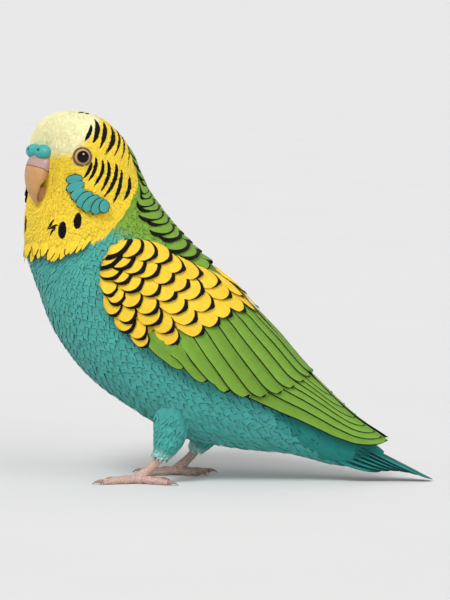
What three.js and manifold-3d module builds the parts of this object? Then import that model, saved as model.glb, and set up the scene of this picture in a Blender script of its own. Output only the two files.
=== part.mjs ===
// A life-size budgerigar of the exhibition type, standing, in millimetres.
// The bird faces -Y with its left side towards +X and stands on z = 0, and its head is turned to its left.
// The body is one lofted surface parted into torso, neck and head. The wings are laid over the same surface.
import * as THREE from "three";
import { mergeVertices } from "three/addons/utils/BufferGeometryUtils.js";
import Module from "manifold-3d";

const wasm = await Module();
wasm.setup();

// Driving dimensions
const GAP = 0.3; // left between two pieces that meet
const HEAD_TURN = 38; // degrees to the bird's left
const HEAD_AXIS_Y = -58.5; // the upright line that the head turns about
const TURN_FROM = 7.3; // body station where the turn begins, low on the neck
const TURN_TO = 9.2; // body station where the turn is complete
const FULLNESS = 2.25; // 2 makes each body section an ellipse, more makes it squarer

// Stations of the body from under the wing tips to the crown.
// Each row is the back's y and z, the belly's y and z, and the half width.
const BODY = [
  [68.0, 15.0, 65.6, 11.8, 4.6],
  [51.8, 25.6, 46.9, 6.9, 9.0],
  [33.1, 43.4, 26.6, 10.6, 14.0],
  [17.7, 61.3, 4.3, 13.0, 19.5],
  [2.2, 80.0, -17.3, 17.5, 24.0],
  [-11.6, 94.2, -38.4, 29.6, 26.5],
  [-20.9, 104.3, -56.2, 43.0, 27.0],
  [-27.4, 112.9, -69.2, 60.5, 26.0],
  [-31.9, 119.8, -76.5, 78.4, 24.0],
  [-35.1, 127.1, -80.6, 93.0, 22.8],
  [-38.0, 134.0, -80.8, 105.2, 22.2],
  [-42.8, 140.9, -78.2, 118.1, 21.4],
  [-49.3, 146.6, -78.6, 130.3, 19.4],
  [-55.4, 149.6, -77.6, 139.6, 16.2],
  [-62.3, 151.0, -74.6, 146.0, 9.6],
  [-69.4, 149.8, -69.4, 149.8, 0.0],
];
const TAIL_STATION = 1.35; // where the torso ends and the tail begins
const NECK_STATION = 7.3; // where the torso ends and the neck begins
const HEAD_STATION = 9.3; // where the neck ends and the head begins
const BODY_RINGS = 32;
const BODY_SIDES = 24;

// Maths
const radians = (degrees) => (degrees * Math.PI) / 180;
const mix = (a, b, s) => a + (b - a) * s;
const clamp01 = (x) => Math.min(1, Math.max(0, x));
const smooth = (from, to, x) => {
  const s = clamp01((x - from) / (to - from));
  return s * s * (3 - 2 * s);
};
const vec = (x, y, z) => new THREE.Vector3(x, y, z);

// A uniform Catmull-Rom spline through rows of numbers, where t is the row's index.
function spline(rows, t) {
  const last = rows.length - 1;
  const i = Math.min(last - 1, Math.max(0, Math.floor(t)));
  const s = t - i;
  const b = rows[i];
  const c = rows[i + 1];
  const a = rows[i - 1] ?? b.map((x, k) => 2 * x - c[k]);
  const d = rows[i + 2] ?? c.map((x, k) => 2 * x - b[k]);
  return b.map((_, k) => {
    const slopeIn = (c[k] - a[k]) / 2;
    const slopeOut = (d[k] - b[k]) / 2;
    const rise = c[k] - b[k];
    const bend = 3 * rise - 2 * slopeIn - slopeOut;
    return b[k] + s * (slopeIn + s * (bend + s * (slopeIn + slopeOut - 2 * rise)));
  });
}

// Solids

// A closed surface through rings of points, with a fan over each end ring.
// Quads from column `flip` on are split along their other diagonal, so both faces of a thin plate match.
function loft(rings, flip = Infinity) {
  const sides = rings[0].length;
  const points = rings.flat();
  const faces = [];
  const at = (i, k) => i * sides + (k % sides);
  for (let i = 0; i + 1 < rings.length; i++)
    for (let k = 0; k < sides; k++) {
      const [a, b, c, d] = [at(i, k), at(i, k + 1), at(i + 1, k + 1), at(i + 1, k)];
      if (k < flip) faces.push(a, b, c, a, c, d);
      else faces.push(a, b, d, b, c, d);
    }
  const centre = (ring) => ring.reduce((sum, p) => sum.add(p), vec(0, 0, 0)).divideScalar(sides);
  points.push(centre(rings[0]), centre(rings.at(-1)));
  const end = rings.length - 1;
  for (let k = 0; k < sides; k++) {
    faces.push(points.length - 2, at(0, k + 1), at(0, k));
    faces.push(points.length - 1, at(end, k), at(end, k + 1));
  }
  const geometry = new THREE.BufferGeometry().setFromPoints(points);
  geometry.setIndex(faces);
  return solidOf(geometry);
}

// A three.js geometry as a solid, turned right side out.
function solidOf(geometry) {
  const bare = geometry.clone();
  bare.deleteAttribute("normal");
  bare.deleteAttribute("uv");
  const merged = mergeVertices(bare, 1e-4);
  const vertProperties = new Float32Array(merged.attributes.position.array);
  const triVerts = new Uint32Array(merged.index.array);
  const made = new wasm.Manifold(new wasm.Mesh({ numProp: 3, vertProperties, triVerts }));
  if (made.volume() > 0) return made;
  return new wasm.Manifold(new wasm.Mesh({ numProp: 3, vertProperties, triVerts: triVerts.reverse() }));
}

// A solid's largest closed surface as a mesh of its own.
function meshOf(name, solid, material) {
  const pieces = solid.decompose().sort((a, b) => b.volume() - a.volume());
  const { numProp, vertProperties, triVerts, numVert } = pieces[0].getMesh();
  const position = new Float32Array(numVert * 3);
  for (let i = 0; i < numVert; i++)
    position.set(vertProperties.subarray(i * numProp, i * numProp + 3), i * 3);
  const geometry = new THREE.BufferGeometry();
  geometry.setAttribute("position", new THREE.BufferAttribute(position, 3));
  geometry.setIndex(new THREE.BufferAttribute(triVerts, 1));
  geometry.computeVertexNormals();
  const mesh = new THREE.Mesh(geometry, material);
  mesh.name = name;
  return mesh;
}

const union = (solids) => solids.reduce((whole, one) => whole.add(one));
const above = (solid, z) => solid.trimByPlane([0, 0, 1], z);

// The body's surface

const bent = (x) => Math.sign(x) * Math.abs(x) ** (2 / FULLNESS);

// A point of the body before its head is turned, where t is the station
// and angle runs from the back round the left side.
function straightPoint(t, angle) {
  const [backY, backZ, bellyY, bellyZ, half] = spline(BODY, t);
  const up = bent(Math.cos(angle)) / 2;
  return vec(
    half * bent(Math.sin(angle)),
    (backY + bellyY) / 2 + up * (backY - bellyY),
    (backZ + bellyZ) / 2 + up * (backZ - bellyZ),
  );
}

// The outward normal there, from small steps each way.
function straightNormal(t, angle) {
  const step = 0.02;
  const along = straightPoint(t + step, angle).sub(straightPoint(t - step, angle));
  const round = straightPoint(t, angle + step).sub(straightPoint(t, angle - step));
  return along.cross(round).normalize();
}

// Turns a point about the head's upright line by a share of the full turn.
function turned(point, share) {
  const angle = radians(HEAD_TURN) * share;
  const y = point.y - HEAD_AXIS_Y;
  return vec(
    point.x * Math.cos(angle) - y * Math.sin(angle),
    HEAD_AXIS_Y + point.x * Math.sin(angle) + y * Math.cos(angle),
    point.z,
  );
}

// A point of the finished body, `height` outside its surface.
function bodyPoint(t, angle, height = 0) {
  const point = straightPoint(t, angle);
  if (height) point.addScaledVector(straightNormal(t, angle), height);
  return turned(point, smooth(TURN_FROM, TURN_TO, t));
}

function bodySolid(height) {
  const first = TAIL_STATION - 0.3;
  const last = BODY.length - 1 - 0.04;
  const rings = [];
  for (let i = 0; i <= BODY_RINGS; i++) {
    const t = mix(first, last, i / BODY_RINGS);
    const angles = Array.from({ length: BODY_SIDES }, (_, k) => (2 * Math.PI * k) / BODY_SIDES);
    rings.push(angles.map((angle) => bodyPoint(t, angle, height)));
  }
  return loft(rings);
}

// The plane of a body section, with its normal towards the head.
function sectionPlane(t) {
  const share = smooth(TURN_FROM, TURN_TO, t);
  const back = turned(straightPoint(t, 0), share);
  const belly = turned(straightPoint(t, Math.PI), share);
  const side = turned(straightPoint(t, Math.PI / 2), share);
  const normal = back.clone().sub(belly).cross(side.sub(belly)).normalize();
  const next = turned(straightPoint(t + 0.1, 0), share).add(turned(straightPoint(t + 0.1, Math.PI), share));
  if (next.sub(back).sub(belly).dot(normal) < 0) normal.negate();
  return { normal: normal.toArray(), offset: normal.dot(back) };
}

// What lies on the tail side or the head side of a body section, half a gap away from it.
const behind = (solid, { normal, offset }) => solid.trimByPlane(normal.map((n) => -n), GAP / 2 - offset);
const ahead = (solid, { normal, offset }) => solid.trimByPlane(normal, offset + GAP / 2);

const body = bodySolid(0);
const bodyWithGap = bodySolid(GAP);
const tailPlane = sectionPlane(TAIL_STATION);
const neckPlane = sectionPlane(NECK_STATION);
const headPlane = sectionPlane(HEAD_STATION);

// Feathers

// A thin feather of four-sided section, where place(u, v) gives its middle surface as {point, normal},
// u runs from root to tip and v from -1 to 1 across.
function plate(place, steps, thickness) {
  const rings = steps.map((u) => {
    const left = place(u, -1);
    const right = place(u, 1);
    const half = thickness(u) / 2;
    const off = (one, side) => one.point.clone().addScaledVector(one.normal, side * half);
    return [off(left, 1), off(right, 1), off(right, -1), off(left, -1)];
  });
  return loft(rings, 2);
}

// The outline of a feather as a share of its full half width.
const rounded = (u, from, length) => Math.sqrt(Math.max(0, 1 - Math.max(0, (u - from) / length) ** 2));
const roundTip = (u) => rounded(u, 0.55, 0.47);
const longTip = (u) => Math.min(1, 0.7 + 0.6 * u) * rounded(u, 0.72, 0.29);

// Wings

const WING_FRONT = 7.12; // body station of the bend of the wing
const WING_CORE_END = 1.7; // body station where the wing's core ends and only feathers go on
const WING_MIDDLE = 77; // degrees round the body at the bend
const WING_CAP = 1.1; // stations over which the bend rounds off
const WING_LIFT = 1.2; // between the body's surface and the underside of the wing
// Degrees round the body of the wing's lower and upper edges, at body stations 0 to 8.
const WING_LOW = [[70], [98], [106], [104], [103], [100], [98], [93], [88]];
const WING_HIGH = [[14], [7], [5], [5], [12], [35], [45], [58], [66]];
// Thickness of the wing's core at body stations 0 to 8.
const WING_CORE = [[0.6], [0.8], [1.0], [1.3], [1.6], [2.0], [2.0], [1.6], [1.2]];

// A point of a folded wing, where t is the body station, across runs from 0 at the lower edge to 1 at the
// upper one, and height is measured from the wing's underside.
function wingPoint(t, across, height, side) {
  const cap = Math.sqrt(1 - (1 - clamp01((WING_FRONT + 0.02 - t) / WING_CAP)) ** 2);
  const low = mix(WING_MIDDLE, spline(WING_LOW, t)[0], cap);
  const high = mix(WING_MIDDLE, spline(WING_HIGH, t)[0], cap);
  const angle = radians(mix(low, high, across));
  const normal = straightNormal(t, angle);
  const point = straightPoint(t, angle).addScaledVector(normal, WING_LIFT + height);
  return { point: point.setX(point.x * side), normal: normal.setX(normal.x * side) };
}

// The wing's core thins to its edges.
function wingCoreHeight(t, across) {
  const edge = 1 - Math.abs(2 * across - 1) ** 3;
  return spline(WING_CORE, t)[0] * mix(0.45, 1, edge);
}

function wingCore(side) {
  const rings = [];
  const lengthSteps = 9;
  const acrossSteps = 5;
  for (let i = 0; i <= lengthSteps; i++) {
    const s = i / lengthSteps;
    const t = mix(WING_FRONT, WING_CORE_END, s * mix(s, 1, 0.6));
    const outer = [];
    const inner = [];
    const reach = mix(0.5, 1, smooth(WING_CORE_END, WING_CORE_END + 1.2, t));
    for (let k = 0; k <= acrossSteps; k++) {
      const across = mix(0.5, k / acrossSteps, reach);
      outer.push(wingPoint(t, across, wingCoreHeight(t, across), side).point);
      inner.unshift(wingPoint(t, across, 0, side).point);
    }
    rings.push([...outer, ...inner]);
  }
  return loft(rings, acrossSteps + 1);
}

// A feather on the wing, from root to tip, each given as [station, across].
// Its surface follows the wing, sunk by `sink` at the root and raised by `lift` at the tip,
// and `tilt` raises its lower edge over the feather below it.
function wingFeather({ root, tip, half, outline, steps, sink, lift, tilt, thickness, side }) {
  const step = 0.01;
  const place = (u, v) => {
    const t = mix(root[0], tip[0], u);
    const across = mix(root[1], tip[1], u);
    const towardsTip = wingPoint(t - step, across, 0, side).point;
    const here = wingPoint(t, across, 0, side);
    const slope = (tip[1] - root[1]) / Math.max(0.2, root[0] - tip[0]);
    const along = wingPoint(t - step, across + slope * step, 0, side).point.sub(here.point).normalize();
    const over = here.normal.clone().cross(along).normalize().multiplyScalar(side);
    const byStation = towardsTip.sub(here.point).divideScalar(step);
    const byAcross = wingPoint(t, across + step, 0, side).point.sub(here.point).divideScalar(step);
    // The sideways move in stations and in shares across, by least squares on the surface.
    const move = over.multiplyScalar(v * half * outline(u));
    const [a, b, c] = [byStation.dot(byStation), byStation.dot(byAcross), byAcross.dot(byAcross)];
    const [p, q] = [move.dot(byStation), move.dot(byAcross)];
    const det = a * c - b * b;
    const dt = (p * c - q * b) / det;
    const dAcross = Math.min(1.02, Math.max(-0.04, across + (q * a - p * b) / det));
    const base = wingCoreHeight(Math.max(0, t - dt), clamp01(dAcross));
    const raised = (sink + lift) * smooth(0, 0.45, u) + (v < 0 ? tilt : 0) * smooth(0, 0.5, u);
    const height = base - sink + raised;
    return wingPoint(Math.max(-0.3, t - dt), dAcross, Math.max(0.35, height), side);
  };
  return plate(place, steps, thickness);
}

// Where the coverts end, as a body station, from the lower edge of the wing to the upper one.
const coverEnd = (across) => spline([[5.3], [4.5], [3.95], [3.6], [3.2]], 4 * across)[0];

const COVERT_COUNTS = [3, 4, 4, 4, 4];
const COVERT_ROWS = COVERT_COUNTS.length;
const COVERT_HALVES = [4.2, 4.9, 5.6, 5.3, 5.3]; // half widths of the coverts by row
const COVERT_STEPS = [0, 0.5, 0.85, 1];
const QUILL_STEPS = [0, 0.35, 0.66, 0.9, 1];

function coverts(side) {
  const made = [];
  for (let row = 0; row < COVERT_ROWS; row++) {
    const count = COVERT_COUNTS[row];
    for (let i = 0; i < count; i++) {
      const across = (i + (row % 2 ? 0.62 : 0.42)) / count;
      const place = (share) => mix(WING_FRONT - 0.15, coverEnd(across), share);
      const share = (row + 1) / COVERT_ROWS;
      const root = place(Math.max(0, share - 1.75 / COVERT_ROWS));
      made.push(
        wingFeather({
          root: [root, across + 0.02],
          tip: [place(share), across - 0.03],
          half: COVERT_HALVES[row],
          outline: roundTip,
          steps: COVERT_STEPS,
          sink: 0.7,
          lift: 0.75,
          tilt: 0.9,
          thickness: (u) => mix(0.6, 0.5, u),
          side,
        }),
      );
    }
  }
  return made;
}

// Tips of the secondaries and tertials, and of the primaries, as [station, across].
const SECONDARY_TIPS = [
  [4.35, 0.03],
  [3.75, 0.04],
  [3.2, 0.07],
  [2.75, 0.16],
  [2.4, 0.32],
  [2.15, 0.52],
  [2.0, 0.72],
  [1.95, 0.9],
];
const PRIMARY_TIPS = [
  [0.12, 0.42],
  [0.35, 0.66],
  [0.72, 0.78],
  [1.1, 0.84],
  [1.5, 0.88],
];

function flightFeathers(side) {
  const made = [];
  PRIMARY_TIPS.forEach((tip, i) => {
    made.push(
      wingFeather({
        root: [3.7 - 0.2 * i, 0.12 + 0.14 * i],
        tip,
        half: 4.2,
        outline: longTip,
        steps: QUILL_STEPS,
        sink: 0.6,
        lift: 0.3,
        tilt: 0.9,
        thickness: (u) => mix(0.6, 0.5, u),
        side,
      }),
    );
  });
  SECONDARY_TIPS.forEach((tip, i) => {
    const across = 0.1 + 0.115 * i;
    made.push(
      wingFeather({
        root: [coverEnd(across) + 0.25, across],
        tip,
        half: 4.4,
        outline: longTip,
        steps: QUILL_STEPS,
        sink: 0.6,
        lift: 0.95,
        tilt: 0.9,
        thickness: (u) => mix(0.6, 0.5, u),
        side,
      }),
    );
  });
  return made;
}

const wing = (side) => union([wingCore(side), ...flightFeathers(side), ...coverts(side)]);

// Tail

const TAIL_ROOT = [44, 21.0]; // y and z where the middle feathers leave the rump
const TAIL_TIP = [84.6, 0.55]; // y and z of the tail's end, which lies on the floor
const TAIL_CORE_END = [66, 9.5]; // y and z where the core of the tail ends among its feathers
const TAIL_PAIRS = 5;
const TAIL_DROP = 1.6; // how far each pair's root lies under the pair inside it
const TAIL_HALF = 3.4; // half width of a tail feather
const TAIL_SHARES = [1, 0.86, 0.72, 0.6, 0.5]; // lengths of the pairs from the middle out

// The tail is tented: each pair lies lower and leans further out than the one inside it.
function tailFeather(pair, side) {
  const lean = radians(16 + 8 * pair);
  const out = vec(side * Math.cos(lean), 0, -Math.sin(lean));
  const rootY = TAIL_ROOT[0] - 1.5;
  const rootZ = TAIL_ROOT[1] - TAIL_DROP * pair;
  const tipY = mix(TAIL_ROOT[0], TAIL_TIP[0], TAIL_SHARES[pair]);
  const tipZ = mix(TAIL_ROOT[1] - TAIL_DROP * pair, TAIL_TIP[1], TAIL_SHARES[pair]);
  const along = vec(0, tipY - rootY, tipZ - rootZ).normalize();
  const normal = out.clone().cross(along).normalize();
  if (normal.z < 0) normal.negate();
  const place = (u, v) => {
    const half = TAIL_HALF * (0.55 + 0.45 * u) * rounded(u, 0.45, 0.56);
    const middle = 0.35 + half * 0.72 + 0.9 * pair * (1 - 0.5 * u);
    const point = vec(0, mix(rootY, tipY, u), mix(rootZ, tipZ, u));
    point.addScaledVector(out, middle + v * half * 0.98);
    return { point, normal };
  };
  return plate(place, QUILL_STEPS, (u) => mix(0.8, 0.5, u));
}

// The coverts above and below the tail are one tapering core that the feathers leave.
function tailCore() {
  const [backY, backZ, bellyY, bellyZ, half] = spline(BODY, TAIL_STATION + 0.2);
  const start = vec(0, (backY + bellyY) / 2, (backZ + bellyZ) / 2);
  const end = vec(0, ...TAIL_CORE_END);
  const up = vec(0, backY - bellyY, backZ - bellyZ).divideScalar(2);
  const rings = [0, 0.25, 0.5, 0.75, 0.92, 1].map((s) => {
    const shrink = mix(1, 0.1, s);
    const centre = start.clone().lerp(end, s);
    return Array.from({ length: 16 }, (_, k) => {
      const angle = (2 * Math.PI * k) / 16;
      const point = centre.clone().addScaledVector(up, shrink * Math.cos(angle));
      return point.setX(half * shrink * Math.sin(angle));
    });
  });
  return loft(rings);
}

function tail() {
  const feathers = [];
  for (let pair = 0; pair < TAIL_PAIRS; pair++) feathers.push(tailFeather(pair, 1), tailFeather(pair, -1));
  return above(behind(union([tailCore(), ...feathers]), tailPlane), 0);
}

// Bill, cere and eyes, in the head's own frame before it is turned:
// x to the left, f forward of the turning line and z up.

const headPoint = (x, f, z) => vec(x, HEAD_AXIS_Y - f, z);
const turnHead = (geometry) =>
  geometry.translate(0, -HEAD_AXIS_Y, 0).rotateZ(radians(HEAD_TURN)).translate(0, HEAD_AXIS_Y, 0);

// Rings of the upper bill: the ridge's f and z, the inner side's f and z, and the half width.
const UPPER_BILL = [
  [20.2, 134.0, 14.0, 131.0, 5.6],
  [23.4, 131.4, 15.4, 127.4, 6.3],
  [25.0, 127.4, 17.4, 123.8, 6.1],
  [25.2, 123.2, 19.8, 120.6, 5.1],
  [24.4, 119.0, 21.4, 117.6, 3.6],
  [23.0, 115.4, 21.5, 115.0, 1.8],
  [21.8, 113.0, 21.3, 113.2, 0.4],
];
const LOWER_BILL = [
  [20.9, 114.0, 15.0, 114.0, 1.6],
  [21.9, 115.6, 14.0, 115.6, 3.2],
  [22.4, 117.8, 14.0, 117.8, 4.2],
  [22.6, 119.8, 14.0, 119.8, 4.5],
];

function billSolid(rows, grow, steps) {
  const rings = [];
  const sides = 12;
  for (let i = 0; i <= steps; i++) {
    const [ridgeF, ridgeZ, innerF, innerZ, half] = spline(rows, ((rows.length - 1) * i) / steps);
    const middle = [(ridgeF + innerF) / 2, (ridgeZ + innerZ) / 2];
    const reach = Math.hypot(ridgeF - innerF, ridgeZ - innerZ) / 2;
    const more = (reach + grow) / reach;
    rings.push(
      Array.from({ length: sides }, (_, k) => {
        const angle = (2 * Math.PI * k) / sides;
        const up = (Math.cos(angle) * more) / 2;
        return turned(
          headPoint(
            (half + grow) * Math.sin(angle),
            middle[0] + up * (ridgeF - innerF),
            middle[1] + up * (ridgeZ - innerZ),
          ),
          1,
        );
      }),
    );
  }
  return loft(rings);
}

const CERE = { x: 3.2, f: 19.9, z: 134.2, radii: [4.0, 3.3, 3.0] };
const NOSTRIL = { x: 3.4, f: 22.9, z: 135.1, radius: 0.7 };

function cereSolid(grow) {
  const bulbs = [1, -1].map((side) => {
    const [a, b, c] = CERE.radii.map((r) => r + grow);
    const at = headPoint(side * CERE.x, CERE.f, CERE.z);
    return solidOf(turnHead(new THREE.SphereGeometry(1, 14, 8).scale(a, b, c).translate(at.x, at.y, at.z)));
  });
  return union(bulbs);
}

function nostrils() {
  return union(
    [1, -1].map((side) => {
      const at = headPoint(side * NOSTRIL.x, NOSTRIL.f, NOSTRIL.z);
      const pit = new THREE.SphereGeometry(NOSTRIL.radius, 8, 6).scale(1, 1.6, 1);
      return solidOf(turnHead(pit.translate(at.x, at.y, at.z)));
    }),
  );
}

const EYE = { x: 16.8, f: 10.1, z: 132.4, radius: 3.6, outward: 66 };
const LID = { radius: 3.75, thickness: 0.55, outward: 1.2 };

// A geometry that faces out of the eye along its own +Z, moved to the eye on that side of the head.
function atEye(geometry, side, outward) {
  const at = headPoint(side * EYE.x, EYE.f, EYE.z);
  const angle = side * radians(EYE.outward);
  const facing = headPoint(Math.sin(angle), Math.cos(angle), 0.08).sub(headPoint(0, 0, 0)).normalize();
  const spin = new THREE.Quaternion().setFromUnitVectors(vec(0, 0, 1), facing);
  at.addScaledVector(facing, outward);
  return solidOf(turnHead(geometry.applyQuaternion(spin).translate(at.x, at.y, at.z)));
}
const eyeball = (side, grow) => atEye(new THREE.SphereGeometry(EYE.radius + grow, 14, 9), side, 0);
const lids = (side) => atEye(new THREE.TorusGeometry(LID.radius, LID.thickness, 4, 14), side, LID.outward);

// Legs, where side is 1 on the left

// Each foot's ankle and sole centre, with the left foot forward of the right one.
const FEET = {
  left: { side: 1, ankle: [13.0, -24.2, 12.0], sole: [13.5, -34.0, 2.2], hip: [10.5, -19, 33] },
  right: { side: -1, ankle: [-13.0, -11.2, 12.0], sole: [-13.5, -20.5, 2.2], hip: [-10.5, -3.5, 33] },
};
const TARSUS_RADIUS = 1.9;
// Toes of a parrot's foot, two forward and two back, each with its heading from straight ahead towards the
// outside, its length and its radius.
const TOES = {
  inner_front: { heading: -20, length: 11.5, radius: 1.45 },
  outer_front: { heading: 16, length: 15.0, radius: 1.5 },
  outer_back: { heading: 158, length: 13.5, radius: 1.45 },
  inner_back: { heading: 200, length: 9.5, radius: 1.4 },
};
const CLAW_LENGTH = 4.6;
const THIGH_RADII = [9.6, 9.0, 7.8, 6.6, 5.6, 4.8]; // from the hip to the hem
const HEM_TIPS = 7; // pointed feathers round the hem

// A round tube along points with a radius at each.
function limb(points, radii, sides) {
  const curve = new THREE.CatmullRomCurve3(points, false, "centripetal");
  const count = radii.length - 1;
  const rings = radii.map((radius, i) => {
    const at = curve.getPoint(i / count);
    const along = curve.getTangent(i / count);
    const across = vec(0, 0, 1).cross(along);
    if (across.length() < 0.2) across.set(1, 0, 0);
    across.normalize();
    const up = along.clone().cross(across).normalize();
    return Array.from({ length: sides }, (_, k) => {
      const angle = (2 * Math.PI * k) / sides;
      const point = at.clone().addScaledVector(across, radius * Math.cos(angle));
      return point.addScaledVector(up, radius * Math.sin(angle));
    });
  });
  return loft(rings);
}

// The way a toe points on the floor.
function toeHeading(toe, side) {
  const angle = radians(toe.heading);
  return vec(side * Math.sin(angle), -Math.cos(angle), 0);
}

function toeSolid(foot, toe) {
  const way = toeHeading(toe, foot.side);
  const start = vec(...foot.sole);
  const rise = [0, 0.15, -0.55, -0.2, -0.75];
  const points = rise.map((lift, i) => {
    const point = start.clone().addScaledVector(way, (toe.length * i) / (rise.length - 1));
    return point.setZ(toe.radius + lift * 0.6 + (i === 0 ? 0.6 : 0));
  });
  const r = toe.radius;
  return limb(points, [r * 1.1, r, r * 1.1, r * 0.9, r, r * 0.7], 7);
}

function clawSolid(foot, toe) {
  const way = toeHeading(toe, foot.side);
  const start = vec(...foot.sole).addScaledVector(way, toe.length + GAP);
  const points = [0, 0.35, 0.7, 1].map((s, i) => {
    const point = start.clone().addScaledVector(way, CLAW_LENGTH * s * 0.92);
    return point.setZ([1.15, 1.6, 1.25, 0.42][i]);
  });
  return above(limb(points, [0.95, 0.8, 0.6, 0.4, 0.16], 5), 0.15);
}

function tarsusSolid(foot, grow) {
  const ankle = vec(...foot.ankle);
  const sole = vec(...foot.sole);
  const top = ankle.clone().add(ankle.clone().sub(sole).setLength(grow));
  const middle = ankle.clone().lerp(sole, 0.5).add(vec(0, 0.4, 0));
  const radii = [0.95, 0.92, 1, 1.15].map((share) => TARSUS_RADIUS * share + grow);
  return limb([top, middle, sole], radii, 10);
}

function footSolid(foot) {
  const sole = vec(...foot.sole);
  const tarsus = tarsusSolid(foot, 0);
  const cushion = new THREE.SphereGeometry(2.5, 12, 8).scale(1, 1.1, 0.85);
  const pad = solidOf(cushion.translate(sole.x, sole.y, sole.z - 0.25));
  const toes = Object.values(TOES).map((toe) => toeSolid(foot, toe));
  return above(union([pad, tarsus, ...toes]), 0);
}

// The feathered leg, from inside the flank down to the ankle, with pointed tips round its lower end.
function thighSolid(foot) {
  const hip = vec(...foot.hip);
  const ankle = vec(...foot.ankle);
  const middle = hip.clone().lerp(ankle, 0.55).add(vec(0, 0.8, 0));
  const end = ankle.clone().add(vec(0, 0, GAP + 0.4));
  const core = limb([hip, middle, end], THIGH_RADII, 14);
  const tips = [];
  for (let i = 0; i < HEM_TIPS; i++) {
    const angle = (2 * Math.PI * (i + 0.5 * (foot.side > 0 ? 1 : 0))) / HEM_TIPS;
    const out = vec(Math.cos(angle), Math.sin(angle), 0);
    const reach = 3.2 + 1.3 * ((i * 7) % 3) * 0.5;
    const place = (u, v) => {
      const from = end.clone().addScaledVector(out, 4.2).add(vec(0, 1.2, 2.6));
      const to = end.clone().addScaledVector(out, 4.0).add(vec(0, -0.4, -reach));
      const over = vec(-out.y, out.x, 0);
      const half = 2.1 * (1 - u * u * 0.9);
      return { point: from.lerp(to, u).addScaledVector(over, v * half), normal: out.clone() };
    };
    tips.push(plate(place, [0, 0.45, 0.8, 1], (u) => mix(1.0, 0.5, u)));
  }
  return union([core, ...tips]).subtract(tarsusSolid(foot, GAP)).subtract(bodyWithGap);
}

// Colours and finishes
const finish = (color, roughness) => new THREE.MeshStandardMaterial({ color, roughness, metalness: 0 });
const MATERIALS = {
  bodyFeather: finish(0x45988f, 0.75),
  headFeather: finish(0xedcf3c, 0.75),
  neckFeather: finish(0x7aa43c, 0.75),
  wingFeather: finish(0xa9b83c, 0.65),
  tailFeather: finish(0x1f6f68, 0.6),
  horn: finish(0xc79a68, 0.4),
  cere: finish(0x49a5a0, 0.5),
  eye: finish(0x120d0a, 0.08),
  skin: finish(0xceaea2, 0.6),
  claw: finish(0x9b8478, 0.4),
};

const bird = new THREE.Group();
const add = (name, solid, material) => bird.add(meshOf(name, solid, material));

const upperBill = billSolid(UPPER_BILL, 0, 10);
const upperBillWithGap = billSolid(UPPER_BILL, GAP, 10);
const cere = cereSolid(0).subtract(nostrils());
const eyeSides = { left: 1, right: -1 };

let head = ahead(body, headPlane);
head = union([head, lids(1), lids(-1)]);
for (const side of [1, -1]) head = head.subtract(eyeball(side, GAP));

add("torso", ahead(behind(body, neckPlane), tailPlane), MATERIALS.bodyFeather);
add("neck", ahead(behind(body, headPlane), neckPlane), MATERIALS.neckFeather);
add("head", head, MATERIALS.headFeather);
for (const [name, side] of Object.entries(eyeSides)) {
  add(`eye_${name}`, eyeball(side, 0), MATERIALS.eye);
  add(`wing_${name}`, wing(side), MATERIALS.wingFeather);
}
add("cere", cere.subtract(bodyWithGap), MATERIALS.cere);
add("bill_upper", upperBill.subtract(bodyWithGap).subtract(cereSolid(GAP)), MATERIALS.horn);
add(
  "bill_lower",
  billSolid(LOWER_BILL, 0, 6).subtract(bodyWithGap).subtract(upperBillWithGap),
  MATERIALS.horn,
);
add("tail", tail(), MATERIALS.tailFeather);
for (const [name, foot] of Object.entries(FEET)) {
  const leg = footSolid(foot);
  add(`thigh_${name}`, thighSolid(foot), MATERIALS.bodyFeather);
  add(`foot_${name}`, leg, MATERIALS.skin);
  for (const [toeName, toe] of Object.entries(TOES))
    add(`claw_${toeName}_${name}`, clawSolid(foot, toe), MATERIALS.claw);
}

// The middle of the bird's box stands over the origin.
bird.position.y = -new THREE.Box3().setFromObject(bird, true).getCenter(vec(0, 0, 0)).y;

export default bird;
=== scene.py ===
"""A life-size budgerigar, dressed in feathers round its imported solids.

Every length below is in millimetres until a mesh is made. The bird faces -Y with its left side towards +X.
Its body is one surface with two parameters, a station t from the tail (0) to the crown (15) and an angle a
from the middle of the back (0) round the left side to the middle of the belly (pi). All plumage is worked out
on that surface with the head looking straight ahead, and the last step turns the head to the bird's left.
"""
# %% [markdown]
# The solids come first. They give the place and size of everything, and the looks are built round them.

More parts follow.
